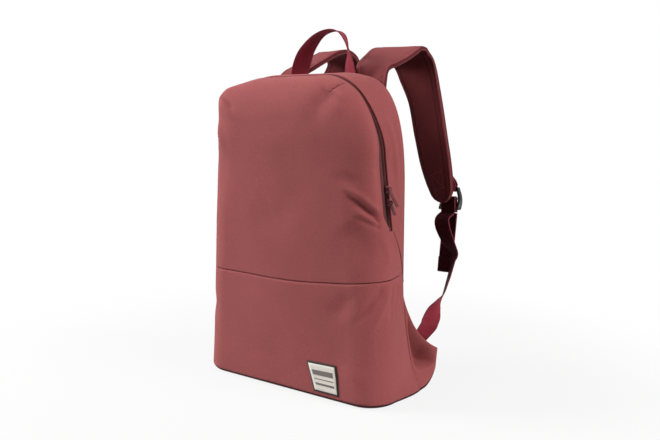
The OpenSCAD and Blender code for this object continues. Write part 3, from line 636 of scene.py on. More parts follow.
def cloth_material(name, colour, pitch=0.7, heather=0.10, rough=(0.8, 0.95), sheen=0.12, relief=0.25,
                   pucker=0.0):
    """Plain-woven cloth: crossing threads, slubs, heathered colour, soft patches of wear, and painted shade
    in creases with painted highlight on ridges.
    """
    mat, tree, shader = material(name)
    coords = node(tree, "ShaderNodeTexCoord").outputs
    uv, where = coords["UV"], coords["Object"]
    warp, weft = [math_node(tree, "MULTIPLY_ADD", bands(tree, uv, pitch, way), 2.0, -1.0) for way in "XY"]
    weave = math_node(tree, "MULTIPLY", warp, weft)
    slub = math_node(tree, "ADD", noise(tree, uv, 260, 2, (1, 9, 1)), noise(tree, uv, 260, 2, (9, 1, 1)))
    grain = noise(tree, uv, 1400, 3)
    fleck = math_node(tree, "ADD", spread(tree, grain, -heather, heather),
                      spread(tree, slub, -heather, heather * 0.5))
    mottle = spread(tree, noise(tree, where, 430, 1), -heather * 0.35, heather * 0.35)
    patch = spread(tree, noise(tree, where, 14, 3), 0.95, 1.05)
    shade = math_node(tree, "ADD", math_node(tree, "ADD", fleck, mottle), patch)
    # Pointiness paints shade into creases and highlight onto ridges.
    pointed = node(tree, "ShaderNodeNewGeometry").outputs["Pointiness"]
    tone_shift = spread(tree, pointed, -0.07, 0.07, (0.44, 0.56))
    level = math_node(tree, "ADD", math_node(tree, "MULTIPLY_ADD", weave, 0.05, shade), tone_shift)
    height = math_node(tree, "MULTIPLY_ADD", slub, 0.8, weave)
    if pucker:
        height = math_node(tree, "MULTIPLY_ADD", noise(tree, where, 110, 3), pucker, height)
    feed(tree, shader, Base_Color=tinted(tree, level, linear(colour)), Roughness=spread(tree, grain, *rough),
         Sheen_Weight=sheen, Sheen_Roughness=0.5, Specular_IOR_Level=0.15,
         Normal=bump(tree, height, relief, 0.25))
    return mat


def webbing_material(name, colour, edge, shine=0.1):
    """Ribbed webbing: ribs across, lines along, slanted twill and uneven wear."""
    mat, tree, shader = material(name)
    uv = node(tree, "ShaderNodeTexCoord").outputs["UV"]
    slanted = node(tree, "ShaderNodeMapping", Vector=uv, Rotation=(0, 0, math.radians(38))).outputs[0]
    ribs = bands(tree, uv, 1.5, "Y")
    fine = math_node(tree, "ADD", bands(tree, uv, 1.1, "X"), bands(tree, slanted, 0.9, "X"))
    height = math_node(tree, "MULTIPLY_ADD", ribs, 0.7, math_node(tree, "MULTIPLY", fine, 0.4))
    grain = noise(tree, uv, 900, 3)
    level = math_node(tree, "MULTIPLY_ADD", ribs, 0.1, spread(tree, grain, 0.86, 1.1))
    tone_shift = spread(tree, noise(tree, uv, 40, 3), 0.0, 0.35)
    base = colour_mix(tree, tone_shift, linear(colour), linear(edge))
    feed(tree, shader, Base_Color=tinted(tree, level, base), Roughness=spread(tree, grain, 0.62, 0.8),
         Sheen_Weight=shine / 2, Specular_IOR_Level=shine, Normal=bump(tree, height, 0.45, 0.3))
    return mat


def plastic_material(name, colour, rough, grain_size=700, relief=0.12, shine=0.5):
    """Moulded plastic or painted metal: fine grain, uneven gloss and rubbed edges."""
    mat, tree, shader = material(name)
    where = node(tree, "ShaderNodeTexCoord").outputs["Object"]
    grain = noise(tree, where, grain_size, 3)
    smear = noise(tree, where, 90, 2)
    rubbed = spread(tree, node(tree, "ShaderNodeNewGeometry").outputs["Pointiness"], 0.0, 0.5, (0.52, 0.66))
    base = linear(colour)
    pale = tuple(min(1.0, c * 1.8 + 0.02) for c in base[:3]) + (1.0,)
    dull = tuple(c * 0.8 for c in base[:3]) + (1.0,)
    mixed = colour_mix(tree, spread(tree, smear, 0.0, 1.0), base, dull)
    feed(tree, shader, Base_Color=colour_mix(tree, rubbed, mixed, pale),
         Roughness=spread(tree, smear, *rough), Specular_IOR_Level=shine,
         Normal=bump(tree, grain, relief, 0.1))
    return mat


CLOTH = cloth_material("cloth", (150, 79, 79), heather=0.17, sheen=0.05, relief=0.35, pucker=6.0)
LINING = cloth_material("lining", (62, 34, 36), pitch=0.5, heather=0.06, rough=(0.6, 0.75), sheen=0.05)
PAD_CLOTH = cloth_material("pad_cloth", (90, 31, 34), pitch=0.9, heather=0.14, sheen=0.02, relief=0.4)
TAPE = cloth_material("zip_tape", (92, 41, 43), pitch=0.8, heather=0.08, rough=(0.7, 0.85), relief=0.4)
PAD_EDGE = cloth_material("pad_edge", (88, 32, 36), pitch=0.7, heather=0.1, sheen=0.04)
PAD_PIPE = cloth_material("pad_piping", (118, 54, 58), pitch=0.6, heather=0.1, sheen=0.12)
WEBBING = webbing_material("webbing", (132, 42, 56), (144, 52, 65))
# A darker copy of the webbing for one face of each strip: painted shade.
WEBBING_SHADED = webbing_material("webbing_painted_shade", (56, 14, 20), (66, 18, 25), shine=0.04)
# Lighter, pinker webbing for the strip edges: painted highlight.
SELVEDGE_HIGHLIGHT = webbing_material("selvedge_painted_highlight", (124, 52, 62), (140, 64, 74))
SEAM = cloth_material("seam", (80, 35, 38), pitch=0.5, heather=0.08, sheen=0.0)
DART = cloth_material("dart", (108, 52, 53), pitch=0.5, heather=0.08, sheen=0.0)
PAD_SEAM = cloth_material("pad_seam", (46, 13, 16), pitch=0.5, heather=0.08, sheen=0.0)
# Dark cloth for the foot of the walls, the wings and the base: a painted contact shadow.
FOOT_SHADOW_CLOTH = cloth_material("foot_painted_shadow", (58, 24, 27), pitch=0.8, sheen=0.02)
# A darker copy of the body cloth for the straps' outer face: painted shade.
STRAP_CLOTH_SHADED = cloth_material("strap_cloth_painted_shade", (128, 62, 64), heather=0.17, sheen=0.02, relief=0.35, pucker=4.0)
THREAD = cloth_material("thread", (104, 50, 53), pitch=0.3, heather=0.1, rough=(0.55, 0.7))
PAD_THREAD = cloth_material("pad_thread", (140, 70, 74), pitch=0.3, heather=0.1, rough=(0.55, 0.7))
TEETH = plastic_material("zip_teeth", (98, 48, 51), rough=(0.5, 0.64), shine=0.12)
SLIDER = plastic_material("zip_metal", (104, 52, 55), rough=(0.42, 0.56), shine=0.18)
BUCKLE = plastic_material("buckle", (26, 20, 22), rough=(0.25, 0.42))
BOARD = plastic_material("board", (30, 28, 29), rough=(0.5, 0.65), grain_size=300, relief=0.4)
LABEL = cloth_material("label", (226, 221, 212), pitch=0.45, heather=0.05, rough=(0.6, 0.75))
LABEL_BAND = cloth_material("label_band", (118, 112, 108), pitch=0.45, heather=0.08, rough=(0.6, 0.75))
LABEL_EDGE = cloth_material("label_edge", (52, 44, 45), pitch=0.45, heather=0.08, rough=(0.6, 0.75))


# Camera, light and floor

LENS = 39.2045
CAMERA_PLACE = (0.5993, -0.8049, 0.3742)
CAMERA_WAY = (-0.5679, 0.8106, -0.1428)


def set_camera():
    data = bpy.data.cameras.new("camera")
    data.sensor_fit = "HORIZONTAL"
    data.sensor_width = 36
    data.lens = LENS
    cam = bpy.data.objects.new("camera", data)
    scene.collection.objects.link(cam)
    forward = Vector(CAMERA_WAY).normalized()
    right = forward.cross(Vector((0, 0, 1))).normalized()
    turn = Matrix((right, right.cross(forward), -forward)).transposed().to_4x4()
    cam.matrix_world = Matrix.Translation(CAMERA_PLACE) @ turn
    scene.camera = cam


def add_lamp(name, place, target, size, power_w, colour=(1, 1, 1)):
    data = bpy.data.lights.new(name, "AREA")
    data.shape = "DISK"
    data.size = size
    data.energy = power_w
    data.color = colour
    lamp = bpy.data.objects.new(name, data)
    scene.collection.objects.link(lamp)
    turn = (Vector(target) - Vector(place)).to_track_quat("-Z", "Y").to_matrix().to_4x4()
    lamp.matrix_world = Matrix.Translation(place) @ turn


FLOOR_GLOW = 0.85
FLOOR_SIDES = 72
FLOOR_RADII = (200, 400, 700, 1100, 1600, 2400)


def seen_directly(tree):
    """1 for what the camera sees, also by reflection or through glass, and 0 for the light on the object."""
    path = node(tree, "ShaderNodeLightPath").outputs
    mirror = math_node(tree, "MAXIMUM", path["Is Glossy Ray"], path["Is Transmission Ray"])
    return math_node(tree, "MAXIMUM", path["Is Camera Ray"], mirror)


def set_world():
    world = bpy.data.worlds.new("studio")
    scene.world = world
    world.use_nodes = True
    tree = world.node_tree
    tree.nodes.clear()
    soft = node(tree, "ShaderNodeBackground", Color=(1, 1, 1, 1), Strength=0.22)
    white = node(tree, "ShaderNodeBackground", Color=(1, 1, 1, 1), Strength=1.0)
    node(tree, "ShaderNodeOutputWorld", Surface=mix_shader(tree, seen_directly(tree), soft, white).outputs[0])


def add_floor():
    """A pale round floor that keeps the shadow and fades into the white background."""
    step = np.arange(FLOOR_SIDES)
    after = (step + 1) % FLOOR_SIDES
    angle = step * 2 * np.pi / FLOOR_SIDES
    circle = xyz(np.cos(angle), np.sin(angle), 0)
    faces = [step]
    for inner in FLOOR_SIDES * np.arange(len(FLOOR_RADII) - 1):
        outer = inner + FLOOR_SIDES
        faces += list(np.stack([inner + step, outer + step, outer + after, inner + after], 1))
    mat, tree, shader = material("floor")
    feed(tree, shader, Base_Color=(0.62, 0.62, 0.62, 1), Roughness=0.9, Specular_IOR_Level=0.0)
    far = node(tree, "ShaderNodeVectorMath", operation="LENGTH")
    plug(tree, far.inputs[0], node(tree, "ShaderNodeTexCoord").outputs["Object"])
    fade = node(tree, "ShaderNodeMapRange", interpolation_type="SMOOTHSTEP", Value=far.outputs["Value"],
                From_Min=0.32, From_Max=0.7).outputs[0]
    clear = node(tree, "ShaderNodeBsdfTransparent")
    glow = node(tree, "ShaderNodeEmission", Color=(1, 1, 1, 1), Strength=1.0)
    lit = mix_shader(tree, math_node(tree, "MULTIPLY", seen_directly(tree), FLOOR_GLOW), shader, glow)
    out = next(n for n in tree.nodes if n.type == "OUTPUT_MATERIAL")
    feed(tree, out, Surface=mix_shader(tree, fade, lit, clear).outputs[0])
    floor = make("floor", np.concatenate([r * circle for r in FLOOR_RADII]), faces, [mat])
    floor.location.z = -0.0004
    floor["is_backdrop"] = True


set_camera()
set_world()
add_floor()
add_lamp("key", (-1.45, -0.85, 1.35), (0, 0, 0.24), 0.8, 40)
add_lamp("fill", (-0.6, -2.7, 1.5), (0, 0, 0.22), 1.8, 8)
add_lamp("side", (2.4, 0.3, 1.4), (0, 0, 0.25), 1.2, 54, (1, 0.94, 0.93))
add_lamp("top", (-0.5, -0.4, 2.6), (0, 0, 0.2), 1.6, 11)
scene.view_settings.view_transform = "Standard"


# Front wall

# Steps across the strips below the zip's ends, round a front corner and across the flat front
SIDE_COLS = 26
TURN_COLS = 30
FLAT_COLS = 76
turn_q = np.linspace(0, 90, TURN_COLS + 1)
flat_u = np.linspace(-0.5, 0.5, FLAT_COLS + 1)
wall_u = np.concatenate([-0.5 - turn_q[:0:-1] / 180, flat_u, 0.5 + turn_q[1:] / 180])


# Steps of a rolled hem: distance across the gap and along the outward normal
LIP_STEPS = [(0, 0), (0.45, -0.25), (0.75, -0.9), (0.6, -1.8), (-0.4, -3.0)]


def lip(rim, normals, toward):
    """A hem rolled in from a rim of points; toward is the direction across the gap."""
    return np.stack([rim + [0, toward * a, 0] + normals * b for a, b in LIP_STEPS], 1)


def rim_normals(rim):
    """Outward normals, in the zip's plane, of a rim that climbs on the right-hand side."""
    g = unit(np.gradient(rim, axis=0))
    return xyz(g[:, 2], 0, -g[:, 0])


def upper_wall():
    """Wall from the slit to the top, with the strips below the zip's ends and the hem along the zip."""
    t = np.linspace(0, 1, 37)[:, None]
    low_z = lerp(slit_z(wall_u)[None] + SLIT_HALF, RIM_LOW_H, t)
    low = wall_point(low_z, wall_u[None])
    mid = wall_point(np.linspace(RIM_LOW_H, ARCH_H, 47)[1:, None], wall_u[None])
    turns = []
    for a in np.linspace(0, 90, 57)[1:]:
        side = flap_point(a, turn_q)
        flat = lerp(side[0] * MIRROR, side[0], (flat_u + 0.5)[:, None])
        turns.append(np.concatenate([side[:0:-1] * MIRROR, flat, side[1:]]))
    main = np.concatenate([low, mid, np.array(turns)])
    top = np.concatenate([flap_point(90, turn_q)[:, None] * MIRROR + [2 * TOP_HALF * k, 0, 0]
                          for k in (flat_u + 0.5)], 1)
    side_u = 1 + np.linspace(0, 1, SIDE_COLS + 1)
    strips = []
    for s in (1, -1):
        z = lerp(slit_z(s * side_u)[None] + SLIT_HALF, RIM_LOW_H, t)
        u = 1 + (side_u[None] - 1) * rear_share(z)
        strips.append(wall_point(z, s * u))
    right, left = main[len(low) - 1:, -1], main[len(low) - 1:, 0]
    top_normals = np.tile([0, 0, 1.0], (len(top[-1]), 1))
    return weld([main, top, strips[0], strips[1][:, ::-1], lip(right, rim_normals(right), 1),
                 lip(left, -rim_normals(left), 1)[:, ::-1], lip(top[-1], top_normals, 1).transpose(1, 0, 2)])


# Folds of the front wall as seen: points, width, height, skew, ends
UPPER_FOLDS = [
    ([(68, -54, 404), (75, -42, 412), (80, -27, 420)], 1.7, -1.8, 0.0, (0.15, 0.3)),
    ([(72, -50, 407), (60, -60, 388), (50, -66, 352)], 15, -4.5, 0.0, (0.1, 0.7)),
    ([(92, -60, 370), (85, -54, 394), (79, -46, 408)], 9, 2.4, 0.0, (0.6, 0.3)),
    ([(-118, -42, 406), (-100, -52, 394), (-82, -59, 383)], 3.0, -4.8, 0.4, (0.1, 0.3)),
    ([(-114, -46, 394), (-96, -56, 381), (-74, -62, 366)], 5, 3.0, 0.0, (0.2, 0.6)),
    ([(-118, -44, 372), (-110, -57, 344), (-96, -63, 314)], 7, 2.8, 0.5, (0.4, 0.5)),
    ([(-117, -50, 330), (-104, -62, 300), (-88, -63, 270)], 12, -2.2, 0.0, (0.4, 0.6)),
    ([(96, -64, 290), (117, -59, 278), (130, -50, 266), (138, -36, 252)], 4.6, 3.4, 0.0, (0.5, 0.15)),
    ([(96, -64, 282), (119, -58, 268), (131.5, -47, 254), (140, -30, 240)], 4.4, -7.0, 0.0, (0.55, 0.16)),
    ([(110, -63, 262), (126, -54, 250), (138, -38, 238)], 4.5, 2.8, 0.0, (0.5, 0.1)),
    ([(114, -61, 252), (130, -49, 242), (140, -32, 233)], 3.6, -3.6, 0.0, (0.55, 0.2)),
    ([(76, -66, 302), (102, -63, 297), (124, -54, 288)], 8, -2.2, 0.0, (0.5, 0.4)),
    ([(128, -50.5, 313), (134, -43, 311), (136.2, -33, 310)], 2.2, -1.2, 0.6, (0.5, 0.3)),
    ([(104, -64, 246), (122, -56, 215), (131, -47, 180)], 20, -4.5, 0.0, (0.3, 0.5)),
    ([(138, -34, 228), (142, -25, 205), (143, -22, 180)], 5, 1.6, 0.0, (0.3, 0.4)),
    ([(-60, -67, 250), (-10, -68, 238), (40, -67, 240)], 22, -2.0, 0.0, (0.4, 0.4)),
    ([(0, -67, 350), (30, -66, 300), (42, -66, 240)], 26, -2.6, 0.0, (0.3, 0.4)),
]
# Upper left corner, drawn up into a point, and the wall under it
CORNER_PULLS = [((-112, -50, 403), 26.0, (-13, -3, 8)), ((-124, -44, 345), 40.0, (2.6, 0, 0))]
RIGHT_DART = [(69, -55, 405), (75, -45, 412), (80, -31, 419)]

points, quads, uvs = upper_wall()
edge_fade = lerp(ease((BACK_Y - points[:, 1]) / 8), ease((RIM_Y + 0.5 - points[:, 1]) / 6 + 0.15),
                 ease((points[:, 2] - 172) / 46))
points = pulled(leaning(opened(points)), CORNER_PULLS)
quads, uvs, normals = turned_out(points, quads, uvs, 280)
rise = sum(crease(points, normals, *f) for f in UPPER_FOLDS) + slack(points)
points = points + normals * (rise * edge_fade)[:, None]
upper = thick(make("front_wall", points, quads, [CLOTH, LINING], uvs), CLOTH_T, 1)
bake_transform(assign(upper, "cloth", "middle_front_panel", "front_flap_panel"))
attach(assign(seam_cord("right_dart_seam", RIGHT_DART, upper, DART), "cloth"), "front_flap")


# Steps of the hem along the slit: height over the edge and depth behind the wall
SLIT_HEM = [(0.3, 0.3), (0.1, 1.2), (-1.5, 2.0)]


def lower_wall():
    """Wall from the floor to the slit, round to the back seam on both sides, with a hem along the slit."""
    foot_z = BASE_R * (1 - np.cos(np.radians(np.linspace(0, 90, 13))))
    side = np.linspace(1, 2, SIDE_COLS + 9)[1:]
    u = np.concatenate([-side[::-1], wall_u, side])
    top = slit_z(np.clip(u, -1, 2)) - SLIT_HALF
    rows = [np.full(len(u), z) for z in foot_z]
    rows += [lerp(BASE_R, top, t) for t in np.linspace(0, 1, 46)[1:]]
    z = np.array(rows)
    on_side = np.sign(u) * (1 + (np.abs(u) - 1) * rear_share(z))
    grid = wall_point(z, np.where(np.abs(u) <= 1, u, on_side))
    normals = normals_of(grid.reshape(-1, 3), grid_quads(*grid.shape[:2])).reshape(grid.shape)[-1]
    hem = [grid[-1] + [0, 0, up] - normals * depth for up, depth in SLIT_HEM]
    return weld([np.concatenate([grid, hem])])


# Height of the dark band along the foot, a painted contact shadow, and its share at the back
FOOT_SHADOW_H = 6.2
FOOT_SHADOW_REAR = 0.45
# Folds of the lower wall: points, width, height, skew, ends
LOWER_FOLDS = [
    ([(140, -32, 160), (130, -50, 135), (108, -63, 98)], 4.5, -4.0, 0.0, (0.12, 0.7)),
    ([(145, -22, 160), (141, -38, 128), (132, -54, 88)], 3.6, 2.8, 0.4, (0.12, 0.7)),
    ([(147, -10, 160), (148, -20, 135), (146, -32, 98)], 3.2, -2.8, 0.0, (0.12, 0.7)),
    ([(143, 8, 158), (147, -4, 130), (149, -10, 95)], 4.0, 2.6, 0.3, (0.12, 0.7)),
    ([(138, 18, 155), (139, 20, 130), (142, 22, 95)], 6, -2.2, 0.0, (0.12, 0.6)),
    ([(118, -60, 152), (92, -66, 126), (62, -67, 108)], 13, -3.2, 0.0, (0.25, 0.6)),
    ([(139, -54, 8), (124, -61, 6.5), (106, -63, 6)], 2.2, -0.9, 0.5, (0.3, 0.3)),
    ([(130, -56, 60), (110, -64, 40), (98, -65, 20)], 14, 2.0, 0.0, (0.5, 0.5)),
    ([(-150, -35, 120), (-135, -52, 100), (-110, -65, 90)], 12, -2.0, 0.0, (0.4, 0.6)),
    ([(-90, -66, 60), (-30, -68, 46), (30, -67, 52)], 18, -1.8, 0.0, (0.4, 0.4)),
]

points, quads, uvs = lower_wall()
quads, uvs, normals = turned_out(points, quads, uvs, 80)
rise = sum(crease(points, normals, *f) for f in LOWER_FOLDS) + slack(points)
rise *= ease(points[:, 2] / 8) * ease((BACK_Y - points[:, 1]) / 8)
points = points + normals * [1, 1, 0] * rise[:, None]
corners = points[quads]
# Faces below the band's top take the dark cloth, a painted contact shadow.
foot_shadow_top = FOOT_SHADOW_H * lerp(1, FOOT_SHADOW_REAR, ease((corners[..., 1].mean(1) + 20) / 60))
foot_shadow_faces = 2 * (corners[..., 2].max(1) < foot_shadow_top)
lower = make("lower_wall", points, quads, [CLOTH, LINING, FOOT_SHADOW_CLOTH, LINING], uvs, foot_shadow_faces)
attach(assign(thick(lower, CLOTH_T, 1), "cloth", "lower_front_panel"), "pack")


# Gusset

def gusset_lines(f, count):
    """Points from the low right seam over the top to the left one, at share f from the zip to the back."""
    zip_z = np.linspace(RIM_LOW_H, ARCH_H, count)
    zip_side = np.stack([zip_half(zip_z), zip_z], 1)
    back_z = np.linspace(SEAM_LOW_H, BACK_ARCH_H, count)
    back_side = np.stack([back_half(back_z), back_z], 1)
    a = np.radians(np.linspace(0, 90, 2 * count)[1:])
    zip_arch = np.stack([TOP_HALF + ARCH_A * np.cos(a), ARCH_H + ARCH_B * np.sin(a)], 1)
    e = 2 / BACK_ROUND
    back_arch = np.stack([TOP_HALF + (BACK_HALF - TOP_HALF) * power(np.cos(a), e),
                          BACK_ARCH_H + (BODY_H - BACK_ARCH_H) * power(np.sin(a), e)], 1)
    first = np.concatenate([zip_side, zip_arch])
    last = np.concatenate([back_side, back_arch])
    out = unit(np.stack([first[:, 0] - TOP_HALF + 1, np.maximum(0, first[:, 1] - ARCH_H)], 1))
    line = lerp(first, last, f)
    line = line + out * (GUSSET_FULLNESS + waist(line[:, 1:])) * math.sin(math.pi * f)
    top = [(x, line[-1, 1]) for x in np.linspace(TOP_HALF, -TOP_HALF, 30)[1:-1]]
    line = np.concatenate([line, top, line[::-1] * [-1, 1]])
    return xyz(line[:, 0], lerp(REAR_RIM_Y, BACK_Y, f), line[:, 1])


# Folds of the gusset: points, width, height, skew, ends
GUSSET_FOLDS = [
    ([(122, 6, 388), (130, 8, 345), (134, 12, 300), (136, 16, 250)], 5, 2.4, 0.3, (0.3, 0.4)),
    ([(120, 20, 386), (130, 22, 340), (133, 26, 285)], 6, -2.0, 0.0, (0.4, 0.4)),
    ([(134, 24, 262), (137, 10, 244), (140, 0, 232)], 5, -1.2, 0.0, (0.4, 0.4)),
]
grid = np.array([gusset_lines(f, 34) for f in np.linspace(0, 1, 23)])
hem = lip(grid[0], rim_normals(grid[0]), -1).transpose(1, 0, 2)[::-1]
points, quads, uvs = weld([np.concatenate([hem[:-1], grid])])
quads, uvs, normals = turned_out(points, quads, uvs, 250)
rise = sum(crease(points, normals, *f) for f in GUSSET_FOLDS) + wobble(points, 90, 5) * 0.6
rise *= ease((points[:, 1] - REAR_RIM_Y) / 8) * ease((BACK_Y - points[:, 1]) / 8)
points = leaning(points + normals * rise[:, None])
gusset = thick(make("gusset_wall", points, quads, [CLOTH, LINING], uvs), CLOTH_T, 1)
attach(assign(gusset, "cloth", "gusset"), "pack")
low_seam = np.array([gusset_lines(f, 2)[0] for f in np.linspace(0, 1, 24)])
for left in (False, True):
    side_seam = seam_cord(f"{side_name(left)}_side_seam", mirrored(low_seam, left), gusset, SEAM)
    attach(assign(side_seam, "cloth"), "pack")


# Main zip

ZIP_LOW = 233.0
TOOTH_PITCH = 1.7
TOOTH_DEPTH = 2.45
# Rings of one tooth: distance from the meeting line, half width and half height
TOOTH_SHAPE = [(2.9, 0.4, 0.45), (2.5, 0.55, 0.72), (0.7, 0.55, 0.72), (0.1, 0.7, 0.75), (-0.35, 0.45, 0.5)]


def zip_tape(name, y0, y1, *nodes_replaced):
    """Half of the zip's tape, from one depth to another under the rim."""
    line, out = full_rim(ZIP_LOW, 260)
    rows = []
    for y, inset in ((y0, 4.2), (y0, 3.3), (lerp(y0, y1, 0.5), 3.2), (y1, 3.3), (y1, 4.2)):
        p = line - out * inset
        rows.append(leaning(xyz(p[:, 0], y, p[:, 1])))
    return assign(swept(name, np.array(rows).transpose(1, 0, 2), [TAPE]), "zip_tape", *nodes_replaced)


def zip_teeth(name, side, *nodes_replaced):
    """A row of coil teeth: rounded bars across the zip, with a head at the meeting line."""
    line, out = full_rim(ZIP_LOW, 1200)
    count = int(np.linalg.norm(np.diff(line, axis=0), axis=1).sum() / TOOTH_PITCH)
    at = (np.arange(count) + (0.25 if side > 0 else 0.75)) / count * (len(line) - 1)
    knots = np.arange(len(line))
    place = np.stack([np.interp(at, knots, line[:, k]) for k in (0, 1)], 1)
    up = unit(np.stack([np.interp(at, knots, out[:, k]) for k in (0, 1)], 1))
    run = np.stack([up[:, 1], -up[:, 0]], 1)
    ring = np.radians(np.arange(0, 360, 60))
    points, faces = [], []
    for p, n, g in zip(place, up, run):
        faces += tube_faces(len(TOOTH_SHAPE), len(ring), len(points), side > 0)
        for across, wide, tall in TOOTH_SHAPE:
            for a in ring:
                x, z = p - n * (TOOTH_DEPTH - tall * math.sin(a)) + g * wide * math.cos(a)
                points.append((x, ZIP_Y + side * across, z))
    return assign(make(name, leaning(np.array(points)), faces, [TEETH]), "zip_teeth", *nodes_replaced)


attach(zip_tape("zip_tape_back", ZIP_Y + 0.6, ZIP_Y + 6, "main_zip_tape_rear"), "pack")
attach(zip_teeth("zip_teeth_back", 1, "main_zip_teeth_rear"), "pack")
front_tape = zip_tape("zip_tape_front", ZIP_Y - 14, ZIP_Y - 0.6, "main_zip_tape_front", "side_zip_tapes")
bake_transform(front_tape)
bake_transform(zip_teeth("zip_teeth_front", -1, "main_zip_teeth_front", "side_zip_teeth"))


def dress(name, mat, width):
    """Keeps a CAD node, with rounded edges and its own material."""
    obj = nodes[name]
    obj.data.materials.clear()
    obj.data.materials.append(mat)
    merge = obj.modifiers.new("merge", "WELD")
    merge.merge_threshold = 0.00001
    round_off = obj.modifiers.new("round", "BEVEL")
    round_off.width = width * MM
    round_off.segments = 2
    round_off.limit_method = "ANGLE"
    round_off.angle_limit = math.radians(40)


for name in ("upper_slider", "lower_slider", "upper_pull", "lower_pull"):
    dress(name, SLIDER, 0.25)
dress("zip_stops", TEETH, 0.3)
dress("base_board", BOARD, 0.4)


# Shoulder straps

STRAP_ROOT = np.array([72, 44.05, 430])
STRAP_EXTENT = [67, 138, 180]
# Right strap from its root: place as shares of the extent, turn in degrees, share of the pad's full width
STRAP_SHAPE = np.array([
    [0, 0, -0.17, 0, 0], [0, 0.02, -0.05, 0, 0], [-0.04, 0.08, 0.03, 5, 0.37], [-0.11, 0.2, 0.085, 14, 0.7],
    [-0.13, 0.4, 0.15, 21, 0.9], [-0.16, 0.6, 0.21, 24, 1], [-0.19, 0.76, 0.23, 22, 1],
    [-0.17, 0.91, 0.19, 14, 0.97], [-0.07, 1, 0.09, 1, 0.85], [0.23, 0.92, -0.13, -8, 0.66],
    [0.52, 0.81, -0.43, -8, 0.6], [0.68, 0.77, -0.63, -9, 0.56], [0.88, 0.72, -0.84, -14, 0.38],
    [1, 0.71, -1, -16, 0]])
STRAP_LAST = len(STRAP_SHAPE) - 1
# Where the fixed root ends and the swinging strap begins
STRAP_CUT = 2.1
ROOT_W, PAD_W, PAD_END_W = 46, 68, 33
PAD_ROUND = 15.0
PAD_FOLD_W = 6.0
PAD_FOLD_LIFT = 4.0
# Half width of the crossed square of stitches; name, side and distance from the edge of the dark seams
BOX_HALF = 9.0
EDGE_SEAMS = (("outer", 1, 9.5), ("near", -1, 6.0))


def turned(degrees):
    """Level directions at angles in degrees."""
    a = np.radians(degrees)
    return xyz(np.cos(a), np.sin(a), 0)


strap_points = STRAP_ROOT + STRAP_SHAPE[:, :3] * STRAP_EXTENT
strap_turns = turned(STRAP_SHAPE[:, 3])
strap_width = lerp(PAD_END_W, PAD_W, STRAP_SHAPE[:, 4])
strap_width[:int(STRAP_CUT) + 1] = ROOT_W

# Section of the padded strap from its edge: distance, height and material of the step to the next point
PAD, SKIN, BINDING, PIPE = range(4)
INNER_FACE = [(0, 1.8, PIPE), (0.1, 2.7, PIPE), (0.6, 3.3, PIPE), (1.5, 3.5, PIPE), (2.3, 3.0, PAD),
              (2.8, 2.3, PAD), (3.6, 2.7, PAD), (5, 3.2, PAD), (9, 3.9, PAD), (15, 4.3, PAD)]
OUTER_FACE = [(0, -1.8, BINDING), (0.3, -2.7, SKIN), (1.1, -3.2, SKIN), (3.4, -3.6, SKIN), (4.6, -3.5, SKIN),
              (5.2, -3.1, SKIN), (5.8, -3.5, SKIN), (9, -3.9, SKIN), (15, -4.1, SKIN)]
# Half a width from which the section keeps its full shape, and the stitch rows' distances from the edge
FULL_HALF = 16.0
SEAM_D = 2.8
TOP_SEAM_D = 5.2


def pad_section(width, swell):
    """Ring of the strap's section, inner face first, and the material of each step."""
    def face(rows):
        reach = min(1.0, width / 2 / FULL_HALF)
        left = [(-width / 2 + d * reach, h * swell) for d, h, _ in rows]
        right = [(-x, h) for x, h in left[::-1]]
        mats = [m for _, _, m in rows]
        return left + right, mats + mats[-2::-1]
    inner, inner_mats = face(INNER_FACE)
    outer, outer_mats = face(OUTER_FACE)
    return np.array(inner + outer[::-1]), inner_mats + [BINDING] + outer_mats[::-1] + [BINDING]


# Soft folds across the inner face: two ends, each a place along the strap and a share of the width; height
PAD_FOLDS = [((8.6, -0.2), (8.1, 0.42), 0.7), ((9.2, -0.4), (8.6, 0.4), -0.6),
             ((9.8, -0.3), (9.2, 0.42), 0.7), ((10.3, -0.4), (9.7, 0.4), -0.7),
             ((10.9, -0.3), (10.4, 0.4), 0.6), ((11.4, -0.4), (11.0, 0.35), -0.6)]


def strap_place(frames, across, lift):
    """Points at a distance across the strap and a height over its middle."""
    p, _, w, n = frames[:4]
    return p + w * np.reshape(across, (-1, 1)) + n * lift


def strap_frames(t):
    """Frames of the strap at each t, as of a strip, and its widths."""
    t = np.asarray(t, float)
    return (*strip_frames(strap_points, strap_turns, t), along(strap_width[:, None], t)[:, 0])


